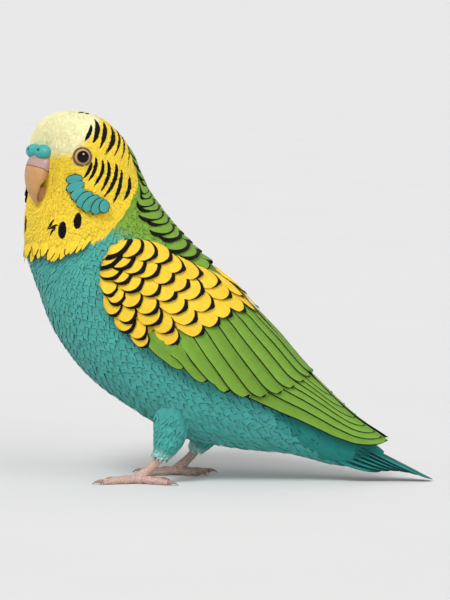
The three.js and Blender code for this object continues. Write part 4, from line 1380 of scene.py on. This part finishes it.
# Rows down the back as station, thickness of the black arc and height of the tip, all in mm but the station.
BACK_ROWS = [
    [9.45, 0.45, 1.2], [9.12, 0.5, 1.3], [8.78, 0.55, 1.35], [8.44, 0.55, 1.4], [8.1, 0.55, 1.4],
    [7.76, 0.55, 1.4], [7.42, 0.55, 1.4], [7.1, 0.55, 1.45], [6.8, 0.55, 1.5], [6.5, 0.55, 1.5],
    [6.2, 0.6, 1.6], [5.9, 0.7, 1.7], [5.55, 1.5, 1.8], [5.2, 1.5, 2.0], [4.88, 1.5, 2.2], [4.56, 0.5, 2.6],
]
BACK_HALF = [[4.5, 7.6], [6.0, 9.2], [9.4, 8.2]]


def add_back():
    """Each row has a middle feather and a higher one on either side, which swing a little from row to row."""
    root, tip, half, high, thick = [], [], [], [], []
    for row, (t, black, rise) in enumerate(BACK_ROWS):
        swing = 2.0 if row % 2 else -2.0
        for degrees in (0, 21 + swing, -21 - swing):
            root.append([t + stations_back(t, degrees, 9.0), degrees * 0.95])
            tip.append([t, degrees])
            half.append(between(BACK_HALF, t))
            high.append(rise - (0.3 if degrees == 0 else 0))
            thick.append(black)
    thick = np.array(thick)
    ink = lambda length, half: crescent(COVERT, length, half, thick, lean=0.3)
    vanes_on_skin(
        "back_feathers", COVERT, root, tip, half, (0.1, high), 0.05, GREEN * 1.04, ink, 71
    )


# Cheek feathers on the left as root and tip, each a station and degrees, with the half width in mm.
CHEEK = [
    [11.08, 123, 11.21, 140, 2.1],
    [10.86, 122, 10.88, 140, 2.2],
    [10.58, 119, 10.51, 132, 2.4],
    [10.31, 111, 10.13, 124, 2.5],
    [10.01, 104, 9.88, 118, 2.5],
    [9.78, 99, 9.56, 109, 2.4],
    [9.61, 95, 9.34, 100, 2.3],
]


def add_cheeks():
    """The same overlapping teal feathers on both cheeks. Each root is moved out by a third of the length,
    and each feather lies higher than the one before it."""
    rows = np.array(CHEEK)
    rows[:, :2] = mix(rows[:, 2:4], rows[:, :2], 1.3)
    mirrored = rows * [1, -1, 1, -1, 1]
    rows = np.concatenate([rows, mirrored])
    low = np.tile(np.linspace(0.5, 1.4, len(CHEEK)), 2)
    high = 1.15 * low + 1.0

    def ink(length, half):
        """A dark rim that is a little wider round the tip."""
        return np.maximum(rim_line(COVERT, half, 0.34), crescent(COVERT, length, half, 0.4 + 0 * half))

    root, tip, half = rows[:, :2], rows[:, 2:4], rows[:, 4]
    vanes_on_skin(
        "cheek_patches", COVERT, root, tip, half, (low, high), 0.09, paint("469891"), ink, 72
    )


def add_mask_fringe():
    """Pointed yellow feathers along the mask's lower edge, with dark tips."""
    rng = np.random.default_rng(73)
    degrees = np.concatenate([np.arange(-178, -112, 6.5), np.arange(112, 182, 6.5)])
    degrees = degrees + rng.normal(0, 1.2, len(degrees))
    t = between(MASK_EDGE, np.abs(degrees)) - 0.12 + rng.normal(0, 0.08, len(degrees))
    root = np.stack([t + stations_back(t, degrees, 6.0), degrees], -1)
    tip = np.stack([t, degrees], -1)
    ink = lambda length, half: rim_line(POINTED, half, 0.5) - 3 * ease(0.5, 0.3, POINTED.flat_u)
    vanes_on_skin(
        "mask_fringe", POINTED, root, tip, 2.3, (0.5, 2.0), 0.09, YELLOW, ink, 74
    )


def add_rump():
    """Long dark feathers over the root of the tail, in three rows down to the line of TAIL_EDGE."""
    root, tip = [], []
    for start, end, step in ((2.75, 1.5, 14), (2.2, 1.1, 14), (1.75, 0.75, 16)):
        low = between(TAIL_EDGE, end + 0.2)
        for degrees in np.arange(8, low, step):
            for side in (1, -1):
                root.append([start, side * degrees * 0.9])
                tip.append([end, side * degrees])
    ink = lambda length, half: rim_line(QUILL, half, 0.3)
    vanes_on_skin(
        "rump_feathers", QUILL, root, tip, 3.3, (0.1, 0.7), 0.06, TAIL_TEAL * 1.1, ink, 75
    )


add_back()
add_cheeks()
add_mask_fringe()
add_rump()


# %% [markdown]
# The tail is long and pointed: the middle pair reaches the floor, and each further pair is shorter, lies
# lower and leans further down, like the sides of a tent. The feathers are dark teal with black shafts and
# edges.

# %% The tail
TAIL_ROOT, TAIL_TIP = (44, 21.0), (84.6, 0.55)  # y and z
TAIL_SHARES = [1, 0.9, 0.8, 0.7, 0.61, 0.52]
TAIL_HALF, TAIL_LENGTH = 3.4, 42.0
TAIL_WAY = unit(np.array([0, 40.0, -20.0]))
FLOOR_GAP = 0.12


def add_tail():
    """Each vane lies in its own slanting plane from the rump to its share of the way to the tail's tip. The
    pairs lean out and down by 15 degrees and 7 more for each step, where six pairs make four steps."""
    shape = VaneShape(arc_rows(0.45, 0.12, 0.02, 0.6, 22), 9, 0.001)
    count = 2 * len(TAIL_SHARES)
    pairs = np.repeat(np.arange(count // 2) * 4 / 5, 2)[:, None]
    side = np.tile([1, -1], count // 2)[:, None]
    share = np.repeat(TAIL_SHARES, 2)[:, None]
    lean = np.radians(15 + 7 * pairs)
    out = np.stack([side * np.cos(lean), 0 * lean, -np.sin(lean)], -1)
    u = (shape.flat_u - shape.flat_sweep)[None]
    y = mix(TAIL_ROOT[0] - 6.0, mix(TAIL_ROOT[0], TAIL_TIP[0], share), u)
    root_z = TAIL_ROOT[1] - 2.0 * pairs
    z = mix(root_z + 3.0, mix(root_z, TAIL_TIP[1], share), u)
    half = TAIL_HALF * shape.flat_width[None] * mix(0.75, 1, u)
    middle = 0.35 + half * 0.66 + 0.9 * pairs * (1 - 0.5 * u)
    spine = np.stack([0 * y, y, z], -1)
    normal = unit(np.cross(out, TAIL_WAY) * side[..., None])
    across = middle + shape.flat_v[None] * half * side
    points = spine + out * across[..., None] + normal * (0.35 + 0.2 * shape.flat_arch[None, :, None] * 1.6)
    points[..., 2] = np.maximum(points[..., 2], FLOOR_GAP)
    color = quill_color(shape, count, paint("23746e"), paint("2d8680"))
    halves = np.full(count, TAIL_HALF)
    shaft = 0.22 - np.abs(halves[:, None] * shape.flat_v * shape.flat_width)
    ink = np.maximum(rim_line(shape, halves, 0.3), shaft)
    lengths = TAIL_LENGTH * np.repeat(TAIL_SHARES, 2)
    patterned_vanes(
        "tail_feathers", shape, points, lengths, halves, color, ink, 1, ("tail",), 51
    )


add_tail()


# %% [markdown]
# Legs, toes and claws are tubes: a path with a radius at each place. The same few tools close a tube, turn
# its faces outwards and join several into one piece.

# %% Tubes along a path
# The side is 1 for the left foot and -1 for the right one, and places are x, y and z.
FEET = {
    "left": {"side": 1, "hip": (10.5, -19, 33), "ankle": (13.0, -24.2, 12.0), "sole": (13.5, -34.0, 2.2)},
    "right": {
        "side": -1, "hip": (-10.5, -3.5, 33), "ankle": (-13.0, -11.2, 12.0), "sole": (-13.5, -20.5, 2.2),
    },
}


def tube(path, radius, sides, flatten=1.0):
    """Rings round a path: each point plus radius * (cos, flatten * sin) in the plane across the way there."""
    path = np.asarray(path, float)
    along = unit(np.gradient(path, axis=0))
    across = unit(np.cross([0, 0, 1.0], along) + [1e-6, 0, 0])
    up = np.cross(along, across)
    a = circle(sides)
    radius = np.asarray(radius, float)
    if radius.ndim == 1:
        radius = radius[:, None] + 0 * a
    aside, upward = radius * np.cos(a), radius * np.sin(a) * flatten
    return path[:, None] + (across[:, None] * aside[..., None] + up[:, None] * upward[..., None])


def merge(parts):
    """Several sets of points, corners and sizes as one."""
    points, corners, sizes, start = [], [], [], 0
    for p, c, s in parts:
        points.append(p)
        corners.append(np.asarray(c) + start)
        sizes.append(s)
        start += len(p)
    return np.concatenate(points), np.concatenate(corners), np.concatenate(sizes)


def outward(points, corners, sizes):
    """The same faces, turned over if the closed surface's signed volume comes out below zero."""
    starts = np.concatenate([[0], np.cumsum(sizes)[:-1]])
    volume = 0.0
    for k in range(1, int(sizes.max()) - 1):
        some = sizes > k + 1
        a, b, c = (points[corners[starts[some] + j]] for j in (0, k, k + 1))
        volume += np.sum(a * np.cross(b, c))
    if volume > 0:
        return points, corners, sizes
    return points, corners[::-1].copy(), sizes[::-1].copy()


def closed_tube(rings):
    """A tube as points, corners and sizes, with its faces outwards."""
    return outward(loft_points(rings), *loft_faces(len(rings), rings.shape[1]))


# %% [markdown]
# The legs wear trousers of longer, narrower feathers, whose pale points end in a ragged hem at the ankle.
# The leg's tube gets a field of its own, so the same vanes can walk down it.

# %% Trousers
def leg_path(foot, s):
    """The middle of the feathered leg from hip (0) to just above the ankle (1), a Bezier curve."""
    hip, ankle = np.array(foot["hip"], float), np.array(foot["ankle"], float)
    middle = mix(hip, ankle, 0.55) + [0, 0.8, 0]
    end = ankle + [0, 0, 0.7]
    s = np.asarray(s, float)[..., None]
    return (1 - s) ** 2 * hip + 2 * s * (1 - s) * (2 * middle - (hip + end) / 2) + s**2 * end


LEG_RADII = [[9.0], [8.3], [7.0], [5.9], [4.9], [3.4]]


def add_trousers(name, foot, seed):
    """A tapering sleeve, and vanes that walk down it and hang past its end."""
    rng = np.random.default_rng(seed)
    rings, sides = 60, 64
    s = np.linspace(0, 1, rings)
    loop = tube(leg_path(foot, s), spline(LEG_RADII, 5 * s)[:, 0], sides)
    fine = np.linspace(-0.02, 1.1, 200)
    dense = tube(leg_path(foot, fine), spline(LEG_RADII, 5 * np.clip(fine, 0, 1.06))[:, 0], 200)
    way = unit(np.gradient(dense, axis=0))
    out = unit(np.cross(np.roll(dense, -1, 1) - np.roll(dense, 1, 1), way))
    out = out * np.sign(dot(out, dense - leg_path(foot, fine)[:, None]))
    station = np.broadcast_to(fine[:, None, None], dense.shape[:2] + (1,))
    values = np.concatenate([station, way], -1)
    field = Field(dense.reshape(-1, 3), out.reshape(-1, 3), values.reshape(-1, 4))
    loft = closed_tube(loop)
    # Painted shade: the sleeve that shows between the trouser feathers is darker than they are.
    color = np.broadcast_to(TEAL_DEEP * 0.8, loft[0].shape)
    uv, thigh = round_map(loft[1], sides, 0.7, 0.5), (f"thigh_{name}",)
    plumage_loft(f"leg_sleeve_{name}", thigh, loft, uv, color)
    count = 620
    place = np.sort(rng.uniform(0.0, 0.92, count) ** 0.85)
    turn = rng.uniform(0, 2 * np.pi, count)
    ring = np.clip((place * (rings - 1)).astype(int), 0, rings - 1)
    spoke = (turn / (2 * np.pi) * sides).astype(int) % sides
    roots = loop[ring, spoke]
    length = mix(6.5, 4.6, place) * rng.uniform(0.85, 1.3, count)
    half = mix(1.5, 0.95, place) * rng.uniform(0.85, 1.15, count)
    rise = mix(0.8, 0.6, place) * rng.uniform(0.8, 1.3, count)
    shape = SMALL_VANE
    lie = lambda point, where, way: way
    spin = rng.normal(0, SPIN, count)
    low = np.full(count, -0.1)
    walked, where = walk(field, lie, roots, shape, length, half, spin, low, rise, 0.2 * half)
    pale = ease(0.92, 1.08, where)[..., None] * ease(0.65, 1, shape.flat_u)[None, :, None]
    color = mix(TEAL_DEEP * 1.02, paint("c9e2da"), 0.5 * pale) * root_shade(shape)
    color = color * rng.normal(1, 0.03, (count, 1, 3))
    tone = rng.normal(0, 0.05, count)
    bake = root_map(shape, place * 15, np.degrees(turn) - 180)
    ink = np.full((count, shape.count), NO_INK)
    name = f"trousers_{name}"
    vane_piece(name, SOFT_PLUMAGE, shape, walked, bake, length, half, color, ink, tone, thigh)


for seed, (foot_name, foot) in enumerate(FEET.items(), 61):
    add_trousers(foot_name, foot, seed)


# %% [markdown]
# Bare skin and horn are two kinds of material. Skin has scales with painted shade in the creases between
# them, and horn has fine growth lines that follow a map of how far it has grown.

# %% Foot skin and horn
def foot_material(name, light, dark):
    """Scales from a Voronoi pattern, with painted shade that darkens the creases between them."""
    fleshy = {"Specular_IOR_Level": 0.15, "Subsurface_Weight": 0.08, "Subsurface_Scale": 0.001}
    material, tree, shader = new_material(name, 0.55, **fleshy)
    place = own_place(tree)
    inputs = {"Vector": place, "Scale": 900.0}
    cells = node(tree, "ShaderNodeTexVoronoi", inputs, feature="DISTANCE_TO_EDGE").outputs["Distance"]
    # Painted shade: near the scales' edges the colour goes to the dark one.
    crease = math(tree, "MULTIPLY", cells, 7.0, clamp=True)
    mottle = math(tree, "MULTIPLY_ADD", noise(tree, place, 180.0, 5.0), 0.8, 0.45)
    share = math(tree, "MULTIPLY", crease, mottle, clamp=True)
    tree.links.new(blend(tree, share, dark, light), shader.inputs["Base Color"])
    add_relief(tree, shader, share, 0.5, 0.00025)
    return material


def horn_material(name, light, dark, roughness, lines):
    """Layered horn: fine growth lines round the piece's own map, with a clear polish over them."""
    polish = {"Coat_Weight": 0.05, "Coat_Roughness": 0.2, "Specular_IOR_Level": 0.08}
    material, tree, shader = new_material(name, roughness, **polish)
    wobble = noise(tree, own_place(tree), 320.0, 4.0)
    turns = math(tree, "MULTIPLY", wobble, 6.0)
    turns = math(tree, "MULTIPLY_ADD", map_along(tree, "Growth"), lines, turns)
    line = math(tree, "MULTIPLY_ADD", math(tree, "SINE", turns), 0.5, 0.5)
    share = math(tree, "MULTIPLY_ADD", line, 0.22, math(tree, "MULTIPLY", wobble, 0.75), clamp=True)
    color = blend(tree, share, dark, light)
    tree.links.new(color, shader.inputs["Base Color"])
    add_relief(tree, shader, line, 0.15, 0.0001)
    return material, tree, shader, color


NEAR_SKIN = foot_material("near foot skin", "caaca1", "ac8a7e")
# Painted shade: the far foot's skin is a darker copy of the near foot's.
SHADED_FAR_SKIN = foot_material("far foot skin in painted shade", "c4a99d", "937b70")
CLAW_HORN = horn_material("claw horn", "b3978a", "7d665b", 0.35, 9.0)[0]
# Painted shade: the lower bill's horn is a darker copy of the upper bill's, as it lies under it.
SHADED_LOWER_HORN = horn_material("lower bill horn in painted shade", "c29463", "9a6b40", 0.36, 9.0)[0]
print("materials so far:", [m.name for m in bpy.data.materials])

# %% [markdown]
# A parrot's foot has two toes forward and two back. Each toe is a chain of joints with a row of broad
# scutes on top and soft pads below, and its claw is a smooth hook. The scutes are real steps in the tube's
# radius, and finer scales between them are left to the material.

# %% Feet and claws
TARSUS_RADIUS = 1.9
# Heading in degrees from straight ahead towards the outside, length, radius and number of joints.
TOES = {
    "inner_front": (-20, 11.5, 1.45, 2),
    "outer_front": (16, 15.0, 1.5, 3),
    "outer_back": (158, 13.5, 1.45, 3),
    "inner_back": (200, 9.5, 1.4, 2),
}
CLAW_LENGTH = 4.6
CLAW_GAP = 0.3 * 0.3  # between the toe's end and its claw


def toe_way(foot, heading):
    """The unit vector on the floor that a toe points along."""
    angle = np.radians(heading)
    return np.array([foot["side"] * np.sin(angle), -np.cos(angle), 0])


def toe_rings(foot, heading, length, radius, joints):
    """A tube along the floor: knuckles swell it, scutes step its upper side, and pads bulge under it."""
    s = np.linspace(0, 1, 72)
    way = toe_way(foot, heading)
    knuckle = 0.09 * np.cos(2 * np.pi * joints * s) * ease(0, 0.15, s)
    size = radius * (1.02 + knuckle) * mix(1.12, 0.74, s**1.6)
    size = size * np.sqrt(np.clip((1.0 - s) / 0.05, 0.05, 1))
    height = radius * mix(1.28, 0.78, ease(0, 0.55, s)) + 0.35 * np.sin(np.pi * s) ** 2
    path = np.array(foot["sole"]) + way * (length * s)[:, None]
    path[:, 2] = height
    sides = 28
    a = circle(sides)
    top = np.clip(np.sin(a), 0, 1)[None] ** 0.7
    scutes = np.abs(((s * joints * 4) % 1) - 0.5)[:, None] ** 0.5
    bulges = np.clip(np.cos(2 * np.pi * joints * (s - 0.04)), 0, 1)
    pad = np.clip(-np.sin(a), 0, 1)[None] * bulges[:, None]
    shaped = size[:, None] * (1 + 0.1 * top * (0.35 - scutes) + 0.09 * pad)
    rings = tube(path, shaped, sides)
    rings[..., 2] = np.maximum(rings[..., 2], 0.0)
    return rings


def claw_rings(foot, heading, length):
    """A hook: a tube that rises from the toe's end and curves down to a point close to the floor."""
    s = np.linspace(0, 1, 26)
    way = toe_way(foot, heading)
    path = np.array(foot["sole"]) + way * (length + CLAW_GAP + CLAW_LENGTH * 0.94 * s)[:, None]
    path[:, 2] = 1.12 + 1.55 * s - 2.45 * s**2
    size = mix(0.98, 0.1, s**0.85)
    return tube(path, size, 20, 1.1)


def tarsus_rings(foot):
    """The bare leg from the hem of the trousers to the foot, with scutes down its front."""
    s = np.linspace(-0.12, 1, 60)
    ankle, sole = np.array(foot["ankle"]), np.array(foot["sole"])
    bow = np.sin(np.pi * np.clip(s, 0, 1))[:, None]
    path = mix(ankle, sole, s[:, None]) + np.array([0, 0.5, 0]) * bow
    sides = 32
    a = circle(sides)
    front = np.clip(np.sin(a), 0, 1)[None]
    scutes = np.abs(((s * 7) % 1) - 0.5)[:, None] ** 0.5
    size = TARSUS_RADIUS * mix(0.94, 1.18, ease(0.5, 1, s))[:, None] * (1 + 0.08 * front * (0.35 - scutes))
    return tube(path, size, sides)


def pad_rings(foot):
    """The sole's pad: a low rounded cushion that the toes leave."""
    a = np.linspace(0.12, np.pi - 0.12, 24)
    b = circle(36)
    x = np.sin(a)[:, None] * np.cos(b) * 2.7
    y = np.sin(a)[:, None] * np.sin(b) * 2.9
    z = np.cos(a)[:, None] * 2.1 + 0 * b
    rings = np.stack([x, y, z], -1) + np.array(foot["sole"]) + [0, 0, -0.25]
    rings[..., 2] = np.maximum(rings[..., 2], 0.0)
    return rings


def plain_piece(name, parts, material, replaces, growth=None):
    """Closed tubes as one piece, with a map of how far along each tube a point lies."""
    points, corners, sizes = merge([closed_tube(rings) for rings in parts])
    uvs = {}
    if growth is not None:
        grown = []
        for rings in parts:
            grown += [np.repeat(np.linspace(0, growth, len(rings)), rings.shape[1]), [0, growth]]
        grown = np.concatenate(grown)
        uvs = {"Growth": np.stack([grown[corners] * 0, grown[corners]], -1)}
    return make_piece(name, points, corners, sizes, material, replaces, uvs=uvs)


for foot_name, foot in FEET.items():
    # the far foot gets the skin copy with painted shade
    skin = NEAR_SKIN if foot_name == "left" else SHADED_FAR_SKIN
    parts = [tarsus_rings(foot), pad_rings(foot)]
    parts += [toe_rings(foot, *toe) for toe in TOES.values()]
    plain_piece(f"foot_skin_{foot_name}", parts, skin, (f"foot_{foot_name}",))
    claws = [claw_rings(foot, heading, length) for heading, length, _, _ in TOES.values()]
    nodes = [f"claw_{toe}_{foot_name}" for toe in TOES]
    plain_piece(f"claws_{foot_name}", claws, CLAW_HORN, nodes, growth=4.0)


# %% [markdown]
# The bill is a hooked wedge of horn under a soft fleshy cere. Its rows are carried from the solids with
# many more steps between them. A pinkish band of new horn with a dark seam runs below the cere, and a notch
# in the cutting edge marks where the lower bill closes.

# %% The bill
# Each row gives the ridge line and the inner line, each as forward and up, and the half width.
UPPER_BILL = [
    [20.2, 134.0, 14.0, 131.0, 5.6],
    [23.4, 131.4, 15.4, 127.4, 6.3],
    [25.0, 127.4, 17.4, 123.8, 6.1],
    [25.2, 123.2, 19.8, 120.6, 5.1],
    [24.4, 119.0, 21.4, 117.6, 3.6],
    [23.0, 115.4, 21.5, 115.0, 1.8],
    [21.8, 113.0, 21.3, 113.2, 0.4],
]
LOWER_BILL = [
    [20.2, 114.0, 15.0, 114.0, 1.2],
    [21.0, 115.6, 14.0, 115.6, 2.4],
    [21.6, 117.8, 14.0, 117.8, 3.2],
    [22.0, 119.8, 14.0, 119.8, 3.7],
]


def bill_rings(rows, count, sides, ridge=0.0, notch=0.0):
    """Rings between the ridge line and the inner line, narrowed to a keel on the ridge side."""
    s = np.linspace(0, len(rows) - 1, count)
    ridge_f, ridge_z, inner_f, inner_z, half = np.moveaxis(spline(rows, s), -1, 0)[..., None]
    a = circle(sides)
    up = np.cos(a) / 2
    keel = 1 - ridge * np.clip(np.cos(a), 0, 1) ** 3
    bite = notch * np.exp(-(((s - 3.15) / 0.35) ** 2))[:, None] * np.clip(-np.cos(a), 0, 1) ** 2
    x = half * np.sin(a) * keel * (1 - 0.35 * bite)
    f = (ridge_f + inner_f) / 2 + (up + 0.3 * bite) * (ridge_f - inner_f)
    z = (ridge_z + inner_z) / 2 + (up + 0.3 * bite) * (ridge_z - inner_z)
    return head_turned(head_point(x, f, z), 1)


def add_bill():
    """Tan horn that turns into the pinkish band where its growth map is still short, with a dark seam."""
    material, tree, shader, tan = horn_material("bill horn", "cfa473", "ae7e50", 0.34, 11.0)
    wobble = noise(tree, own_place(tree), 500.0, 3.0)
    edge = math(tree, "MULTIPLY_ADD", wobble, 0.8, map_along(tree, "Growth"))
    share = math(tree, "DIVIDE", math(tree, "SUBTRACT", edge, 6.1), 0.7, clamp=True)
    band = blend(tree, share, "b08e88", tan)
    away = math(tree, "ABSOLUTE", math(tree, "SUBTRACT", edge, 6.4))
    seam = math(tree, "MULTIPLY_ADD", away, -2.5, 0.8, clamp=True)
    tree.links.new(blend(tree, seam, band, "4a3026"), shader.inputs["Base Color"])
    upper, lower = bill_rings(UPPER_BILL, 90, 64, ridge=0.12, notch=0.5), bill_rings(LOWER_BILL, 40, 48)
    plain_piece("upper_bill", [upper], material, ("bill_upper",), growth=22.0)
    # painted shade in the lower bill's darker horn
    plain_piece("lower_bill", [lower], SHADED_LOWER_HORN, ("bill_lower",), growth=9.0)


add_bill()


# %% [markdown]
# The cere is the smooth fleshy pad above the bill, in two cushions that meet in the middle, each with a
# round nostril sunk in it. It is worked out as two spheres whose surface is pushed in round the nostril,
# and the nostril's pit is darkened as painted shade.

# %% The cere
CERE_AT, CERE_RADII = (3.2, 19.9, 134.2), (4.0, 3.3, 3.0)


def add_cere():
    """A unit sphere's points, pushed in by 0.34 * exp(-(gap / 0.22)^2) round the nostril and swollen in a
    ring round it, for each side."""
    a, b = np.meshgrid(np.linspace(0.03, np.pi - 0.03, 60), circle(90), indexing="ij")
    ball = np.stack([np.sin(a) * np.cos(b), np.sin(a) * np.sin(b), np.cos(a)], -1)
    nostril = unit(np.array([0.12, 0.94, 0.34]))
    gap = np.linalg.norm(ball - nostril, axis=-1)
    pit = np.exp(-((gap / 0.22) ** 2))
    rim = np.exp(-(((gap - 0.36) / 0.14) ** 2))
    shape = ball * (1 - 0.34 * pit + 0.035 * rim)[..., None]
    parts, dark = [], []
    for side in (1, -1):
        x = side * (CERE_AT[0] + CERE_RADII[0] * shape[..., 0])
        f = CERE_AT[1] + CERE_RADII[1] * shape[..., 1]
        z = CERE_AT[2] + CERE_RADII[2] * shape[..., 2]
        parts.append(closed_tube(head_turned(head_point(x, f, z), 1)))
        # Painted shade: the nostril's pit is darkened towards near black.
        dark.append(np.concatenate([ease(0.25, 0.75, pit).ravel(), [0, 0]]))
    points, corners, sizes = merge(parts)
    moist = {"Coat_Weight": 0.05, "Coat_Roughness": 0.3, "Specular_IOR_Level": 0.1}
    material, tree, shader = new_material("cere skin", 0.42, **moist)
    pores = noise(tree, own_place(tree), 700.0, 5.0)
    fleshy = blend(tree, pores, "318c88", "57b5ae")
    # painted shade in the nostril
    shade = node(tree, "ShaderNodeAttribute", attribute_name="Nostril").outputs["Fac"]
    sunk = blend(tree, shade, fleshy, (0.006, 0.02, 0.02, 1))
    tree.links.new(sunk, shader.inputs["Base Color"])
    add_relief(tree, shader, pores, 0.2, 0.0002)
    dark = {"Nostril": np.concatenate(dark)}
    make_piece("cere_cushions", points, corners, sizes, material, ("cere",), values=dark)


add_cere()


# %% [markdown]
# The eye is a dark pupil in a tan iris behind a clear, wet cornea, set in a ring of bare wrinkled skin.
# Rings round the way it faces carry the pattern, so the pupil stays round from every side, and the
# highlight is only the light reflected in the polish.

# %% The eyes
EYE_RADIUS = 3.6
LID_RADIUS, LID_THICKNESS, LID_OUT = 3.62, 0.42, 1.2
# Colours from the middle of the pupil outwards. Place 1 lies 1.67 radians from the way the eye faces.
EYE_STOPS = [
    (0.0, "060404"),
    (0.41, "060404"),
    (0.43, "a87c58"),
    (0.5, "c0926a"),
    (0.64, "b4855f"),
    (0.7, "3a2a22"),
]


def eye_frame(side):
    """Centre, and unit vectors facing out, round and up, of the eye on that side, before the head is
    turned."""
    facing = unit(np.array([side * np.sin(np.radians(66)), -np.cos(np.radians(66)), 0.08]))
    level = unit(np.cross([0, 0, 1.0], facing))
    return EYE_AT * [side, 1, 1], facing, level, np.cross(facing, level)


def eye_material():
    """Colours by the angle from the way the eye faces: pupil, iris with fine rays, and a dark rim."""
    wet = {"Coat_Weight": 0.45, "Coat_Roughness": 0.03, "Specular_IOR_Level": 0.0}
    material, tree, shader = new_material("eye", 0.35, **wet)
    rays = noise(tree, node(tree, "ShaderNodeUVMap", uv_map="Ring").outputs[0], 60.0, 3.0)
    inputs = {"Fac": math(tree, "MULTIPLY", map_along(tree, "Ring"), 0.6)}
    ramp = node(tree, "ShaderNodeValToRGB", inputs)
    while len(ramp.color_ramp.elements) < len(EYE_STOPS):
        ramp.color_ramp.elements.new(0.5)
    for element, (position, code) in zip(ramp.color_ramp.elements, EYE_STOPS):
        element.position = position
        element.color = (*paint(code), 1)
    shaded = {0: ramp.outputs["Color"], "Scale": math(tree, "MULTIPLY_ADD", rays, 0.4, 0.8)}
    tinted = node(tree, "ShaderNodeVectorMath", shaded, operation="SCALE").outputs[0]
    tree.links.new(tinted, shader.inputs["Base Color"])
    return material


def lid_material():
    """Thin brown skin with fine wrinkles round the eye."""
    material, tree, shader = new_material("eyelid skin", 0.6)
    folds = noise(tree, own_place(tree), 1500.0, 4.0)
    tree.links.new(blend(tree, folds, "2b241f", "6b5a4d"), shader.inputs["Base Color"])
    add_relief(tree, shader, folds, 0.4, 0.0002)
    return material


EYE_MATERIAL, LID_MATERIAL = eye_material(), lid_material()


def add_eyeball(name, side):
    """A sphere in rings round its facing, with the cornea bulging by 0.22 * exp(-(angle / 0.75)^4) mm."""
    centre, facing, level, up = eye_frame(side)
    polar, turn = np.meshgrid(np.linspace(0.04, np.pi - 0.04, 64), circle(72), indexing="ij")
    around = level * np.cos(turn)[..., None] + up * np.sin(turn)[..., None]
    radius = EYE_RADIUS + 0.22 * np.exp(-((polar / 0.75) ** 4))
    way = facing * np.cos(polar)[..., None] + around * np.sin(polar)[..., None]
    points, corners, sizes = closed_tube(head_turned(centre + radius[..., None] * way, 1))
    angles = np.concatenate([polar.ravel(), [0, np.pi]])
    turns = np.concatenate([turn.ravel(), [0, 0]])
    uvs = {"Ring": np.stack([turns[corners], angles[corners]], -1)}
    make_piece(f"eyeball_{name}", points, corners, sizes, EYE_MATERIAL, (f"eye_{name}",), uvs=uvs)


def add_lids(name, side):
    """A ring of bare skin round the eye, thicker above and below, with folds across it."""
    centre, facing, level, up = eye_frame(side)
    steps, sides = 120, 20
    turn, tubular = np.meshgrid(circle(steps), circle(sides), indexing="ij")
    around = level * np.cos(turn)[..., None] + up * np.sin(turn)[..., None]
    folds = 0.07 * np.sin(17 * turn) * np.sin(tubular)
    thick = LID_THICKNESS * (0.82 + folds + 0.1 * np.abs(np.sin(turn)))
    across = LID_RADIUS - thick * np.cos(tubular)
    out = LID_OUT + thick * np.sin(tubular) * 0.9
    loop = centre + around * across[..., None] + facing * out[..., None]
    i, k = np.meshgrid(np.arange(steps), np.arange(sides), indexing="ij")
    next_i, next_k = (i + 1) % steps, (k + 1) % sides
    quads = [i * sides + k, i * sides + next_k, next_i * sides + next_k, next_i * sides + k]
    corners, sizes = np.stack(quads, -1).ravel(), np.full(steps * sides, 4)
    points, corners, sizes = outward(head_turned(loop, 1).reshape(-1, 3), corners, sizes)
    make_piece(f"lids_{name}", points, corners, sizes, LID_MATERIAL)


for name, side in (("left", 1), ("right", -1)):
    add_eyeball(name, side)
    add_lids(name, side)


# %% Sizes
VISUAL_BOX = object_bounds()
for word, corner in zip(("dressed, from", "to"), VISUAL_BOX):
    print(word, [round(v, 4) for v in corner])
